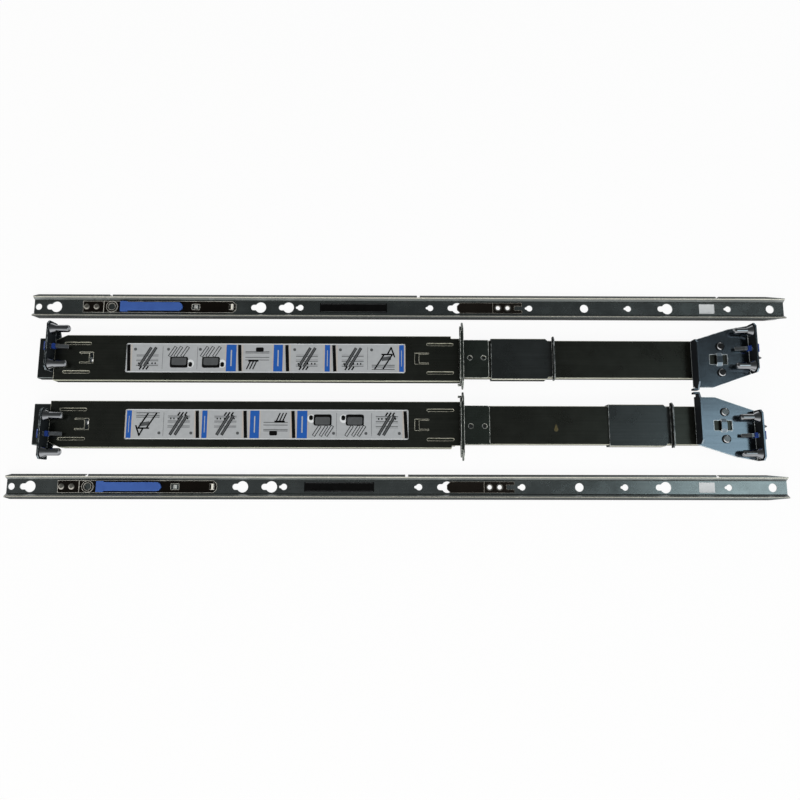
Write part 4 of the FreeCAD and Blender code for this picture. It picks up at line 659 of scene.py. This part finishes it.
# Rating and tracing labels of the inner rails: a long black film and a small silver one, both
# stuck to the web and left without any print apart from the black one's two edge lines.
film_black = printed("film_black", (0.002, 0.002, 0.002), (0.005, 0.005, 0.005), rough=0.30, specular=0.15)
film_silver = printed("film_silver", (0.60, 0.62, 0.63), (0.70, 0.72, 0.73), rough=0.34)
black_place = 0.2935
black_length = 0.0620
black_width = 0.0088
black_corner = 0.0006
edge_line = 1
line_offset = 0.0037
line_length = 0.0600
line_width = 0.0003
silver_place = 0.6205
silver_length = 0.0140
silver_width = 0.0090
silver_corner = 0.0005
for side in ("right", "left"):
    low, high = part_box(f"{side}_inner_rail")
    middle = (low.y + high.y) / 2
    mesh = bmesh.new()
    sheet = bar(mesh, 0.0, 0.0, black_length, black_width, film_layer, film)
    cut_corners(mesh, sheet, black_corner, 3)
    for edge in (-1, 1):
        bar(mesh, 0.0, edge * line_offset, line_length, line_width, print_layer, edge_line)
    spot = Matrix.Translation((low.x + black_place, middle, low.z + web_top))
    sticker(f"{side}_black_label", mesh, spot, (film_black, ink_grey), f"{side}_inner")
    mesh = bmesh.new()
    sheet = bar(mesh, 0.0, 0.0, silver_length, silver_width, film_layer, film)
    cut_corners(mesh, sheet, silver_corner, 3)
    spot = Matrix.Translation((low.x + silver_place, middle, low.z + web_top))
    sticker(f"{side}_silver_label", mesh, spot, (film_silver,), f"{side}_inner")


# Floor: a plain white painted table under the rails, which shows white to the camera and in
# the metal, and keeps a soft shadow.
floor_half = 6.0
floor_white = 0.93
floor_mesh = bmesh.new()
bmesh.ops.create_grid(floor_mesh, x_segments=1, y_segments=1, size=floor_half)
floor_data = bpy.data.meshes.new("table_top")
floor_mesh.to_mesh(floor_data)
floor_mesh.free()
table_top = bpy.data.objects.new("table_top", floor_data)
bpy.context.scene.collection.objects.link(table_top)
table_white = bpy.data.materials.new("table_white")
table_white.use_nodes = True
tree = table_white.node_tree
tree.nodes.remove(tree.nodes["Principled BSDF"])
paint = tree.nodes.new("ShaderNodeBsdfDiffuse")
paint.inputs["Color"].default_value = (0.86, 0.86, 0.86, 1.0)
glow = tree.nodes.new("ShaderNodeEmission")
glow.inputs["Color"].default_value = (1.0, 1.0, 1.0, 1.0)
glow.inputs["Strength"].default_value = 1.0
path = tree.nodes.new("ShaderNodeLightPath").outputs
seen = reckon(tree, "MAXIMUM", path["Is Camera Ray"], path["Is Glossy Ray"])
seen_through = reckon(tree, "MAXIMUM", seen, path["Is Transmission Ray"])
mixed = tree.nodes.new("ShaderNodeMixShader")
tree.links.new(reckon(tree, "MULTIPLY", seen_through, floor_white), mixed.inputs["Fac"])
tree.links.new(paint.outputs["BSDF"], mixed.inputs[1])
tree.links.new(glow.outputs["Emission"], mixed.inputs[2])
tree.links.new(mixed.outputs["Shader"], tree.nodes["Material Output"].inputs["Surface"])
table_top.data.materials.append(table_white)


# Studio light: a pale tent, bright in front and dark overhead and behind, a soft lamp at each
# side and one in front, and a pale blue panel that the plates mirror at their rear end.
tent_lean = (-0.085, 0.64, 0.765)
tent_tones = ((0.05, (1.0, 1.0, 1.0)), (0.45, (0.30, 0.31, 0.31)), (0.62, (0.165, 0.17, 0.17)),
              (0.78, (0.122, 0.126, 0.126)), (0.92, (0.076, 0.080, 0.080)))
tent = bpy.data.worlds.new("tent")
bpy.context.scene.world = tent
tent.use_nodes = True
tree = tent.node_tree
lean = tree.nodes.new("ShaderNodeVectorMath")
lean.operation = "DOT_PRODUCT"
lean.inputs[1].default_value = tent_lean
tree.links.new(on_piece(tree, "Generated"), lean.inputs[0])
tree.links.new(ramped(tree, lean.outputs["Value"], tent_tones), tree.nodes["Background"].inputs["Color"])
for name, spot, aim, wide, power, colour, mirrored in (
        ("lamp_left", (-1.5, 0.1, 1.0), (0.0, 0.0, 0.0), 1.1, 8.0, (1.0, 0.97, 0.92), False),
        ("lamp_right", (1.6, 0.3, 0.9), (0.0, 0.0, 0.0), 1.1, 8.0, (0.92, 0.96, 1.0), False),
        ("lamp_front", (0.0, -1.5, 1.0), (0.0, 0.0, 0.0), 1.4, 20.0, (1.0, 0.98, 0.94), False),
        ("lamp_panel", (1.02, -0.04, 1.31), (0.30, -0.04, 0.0), 0.45, 1.1, (0.78, 0.94, 1.0), True)):
    lamp = bpy.data.lights.new(name, "AREA")
    lamp.shape = "SQUARE"
    lamp.size = wide
    lamp.energy = power
    lamp.color = colour
    holder = bpy.data.objects.new(name, lamp)
    holder.visible_glossy = mirrored
    holder.location = spot
    holder.rotation_euler = (Vector(spot) - Vector(aim)).to_track_quat("Z", "Y").to_euler()
    bpy.context.scene.collection.objects.link(holder)


# Camera: nearly straight above the four rails and close to them, tipped a little towards
# their far edge.
lens = bpy.data.cameras.new("photo_camera")
lens.sensor_width = 36.0
lens.lens = 29.25
eye = bpy.data.objects.new("photo_camera", lens)
eye.location = (-0.0080, -0.0900, 0.5825)
eye.rotation_euler = (math.radians(8.42), math.radians(-0.4), math.radians(0.1))
bpy.context.scene.collection.objects.link(eye)
bpy.context.scene.camera = eye
bpy.context.scene.view_settings.view_transform = "Standard"
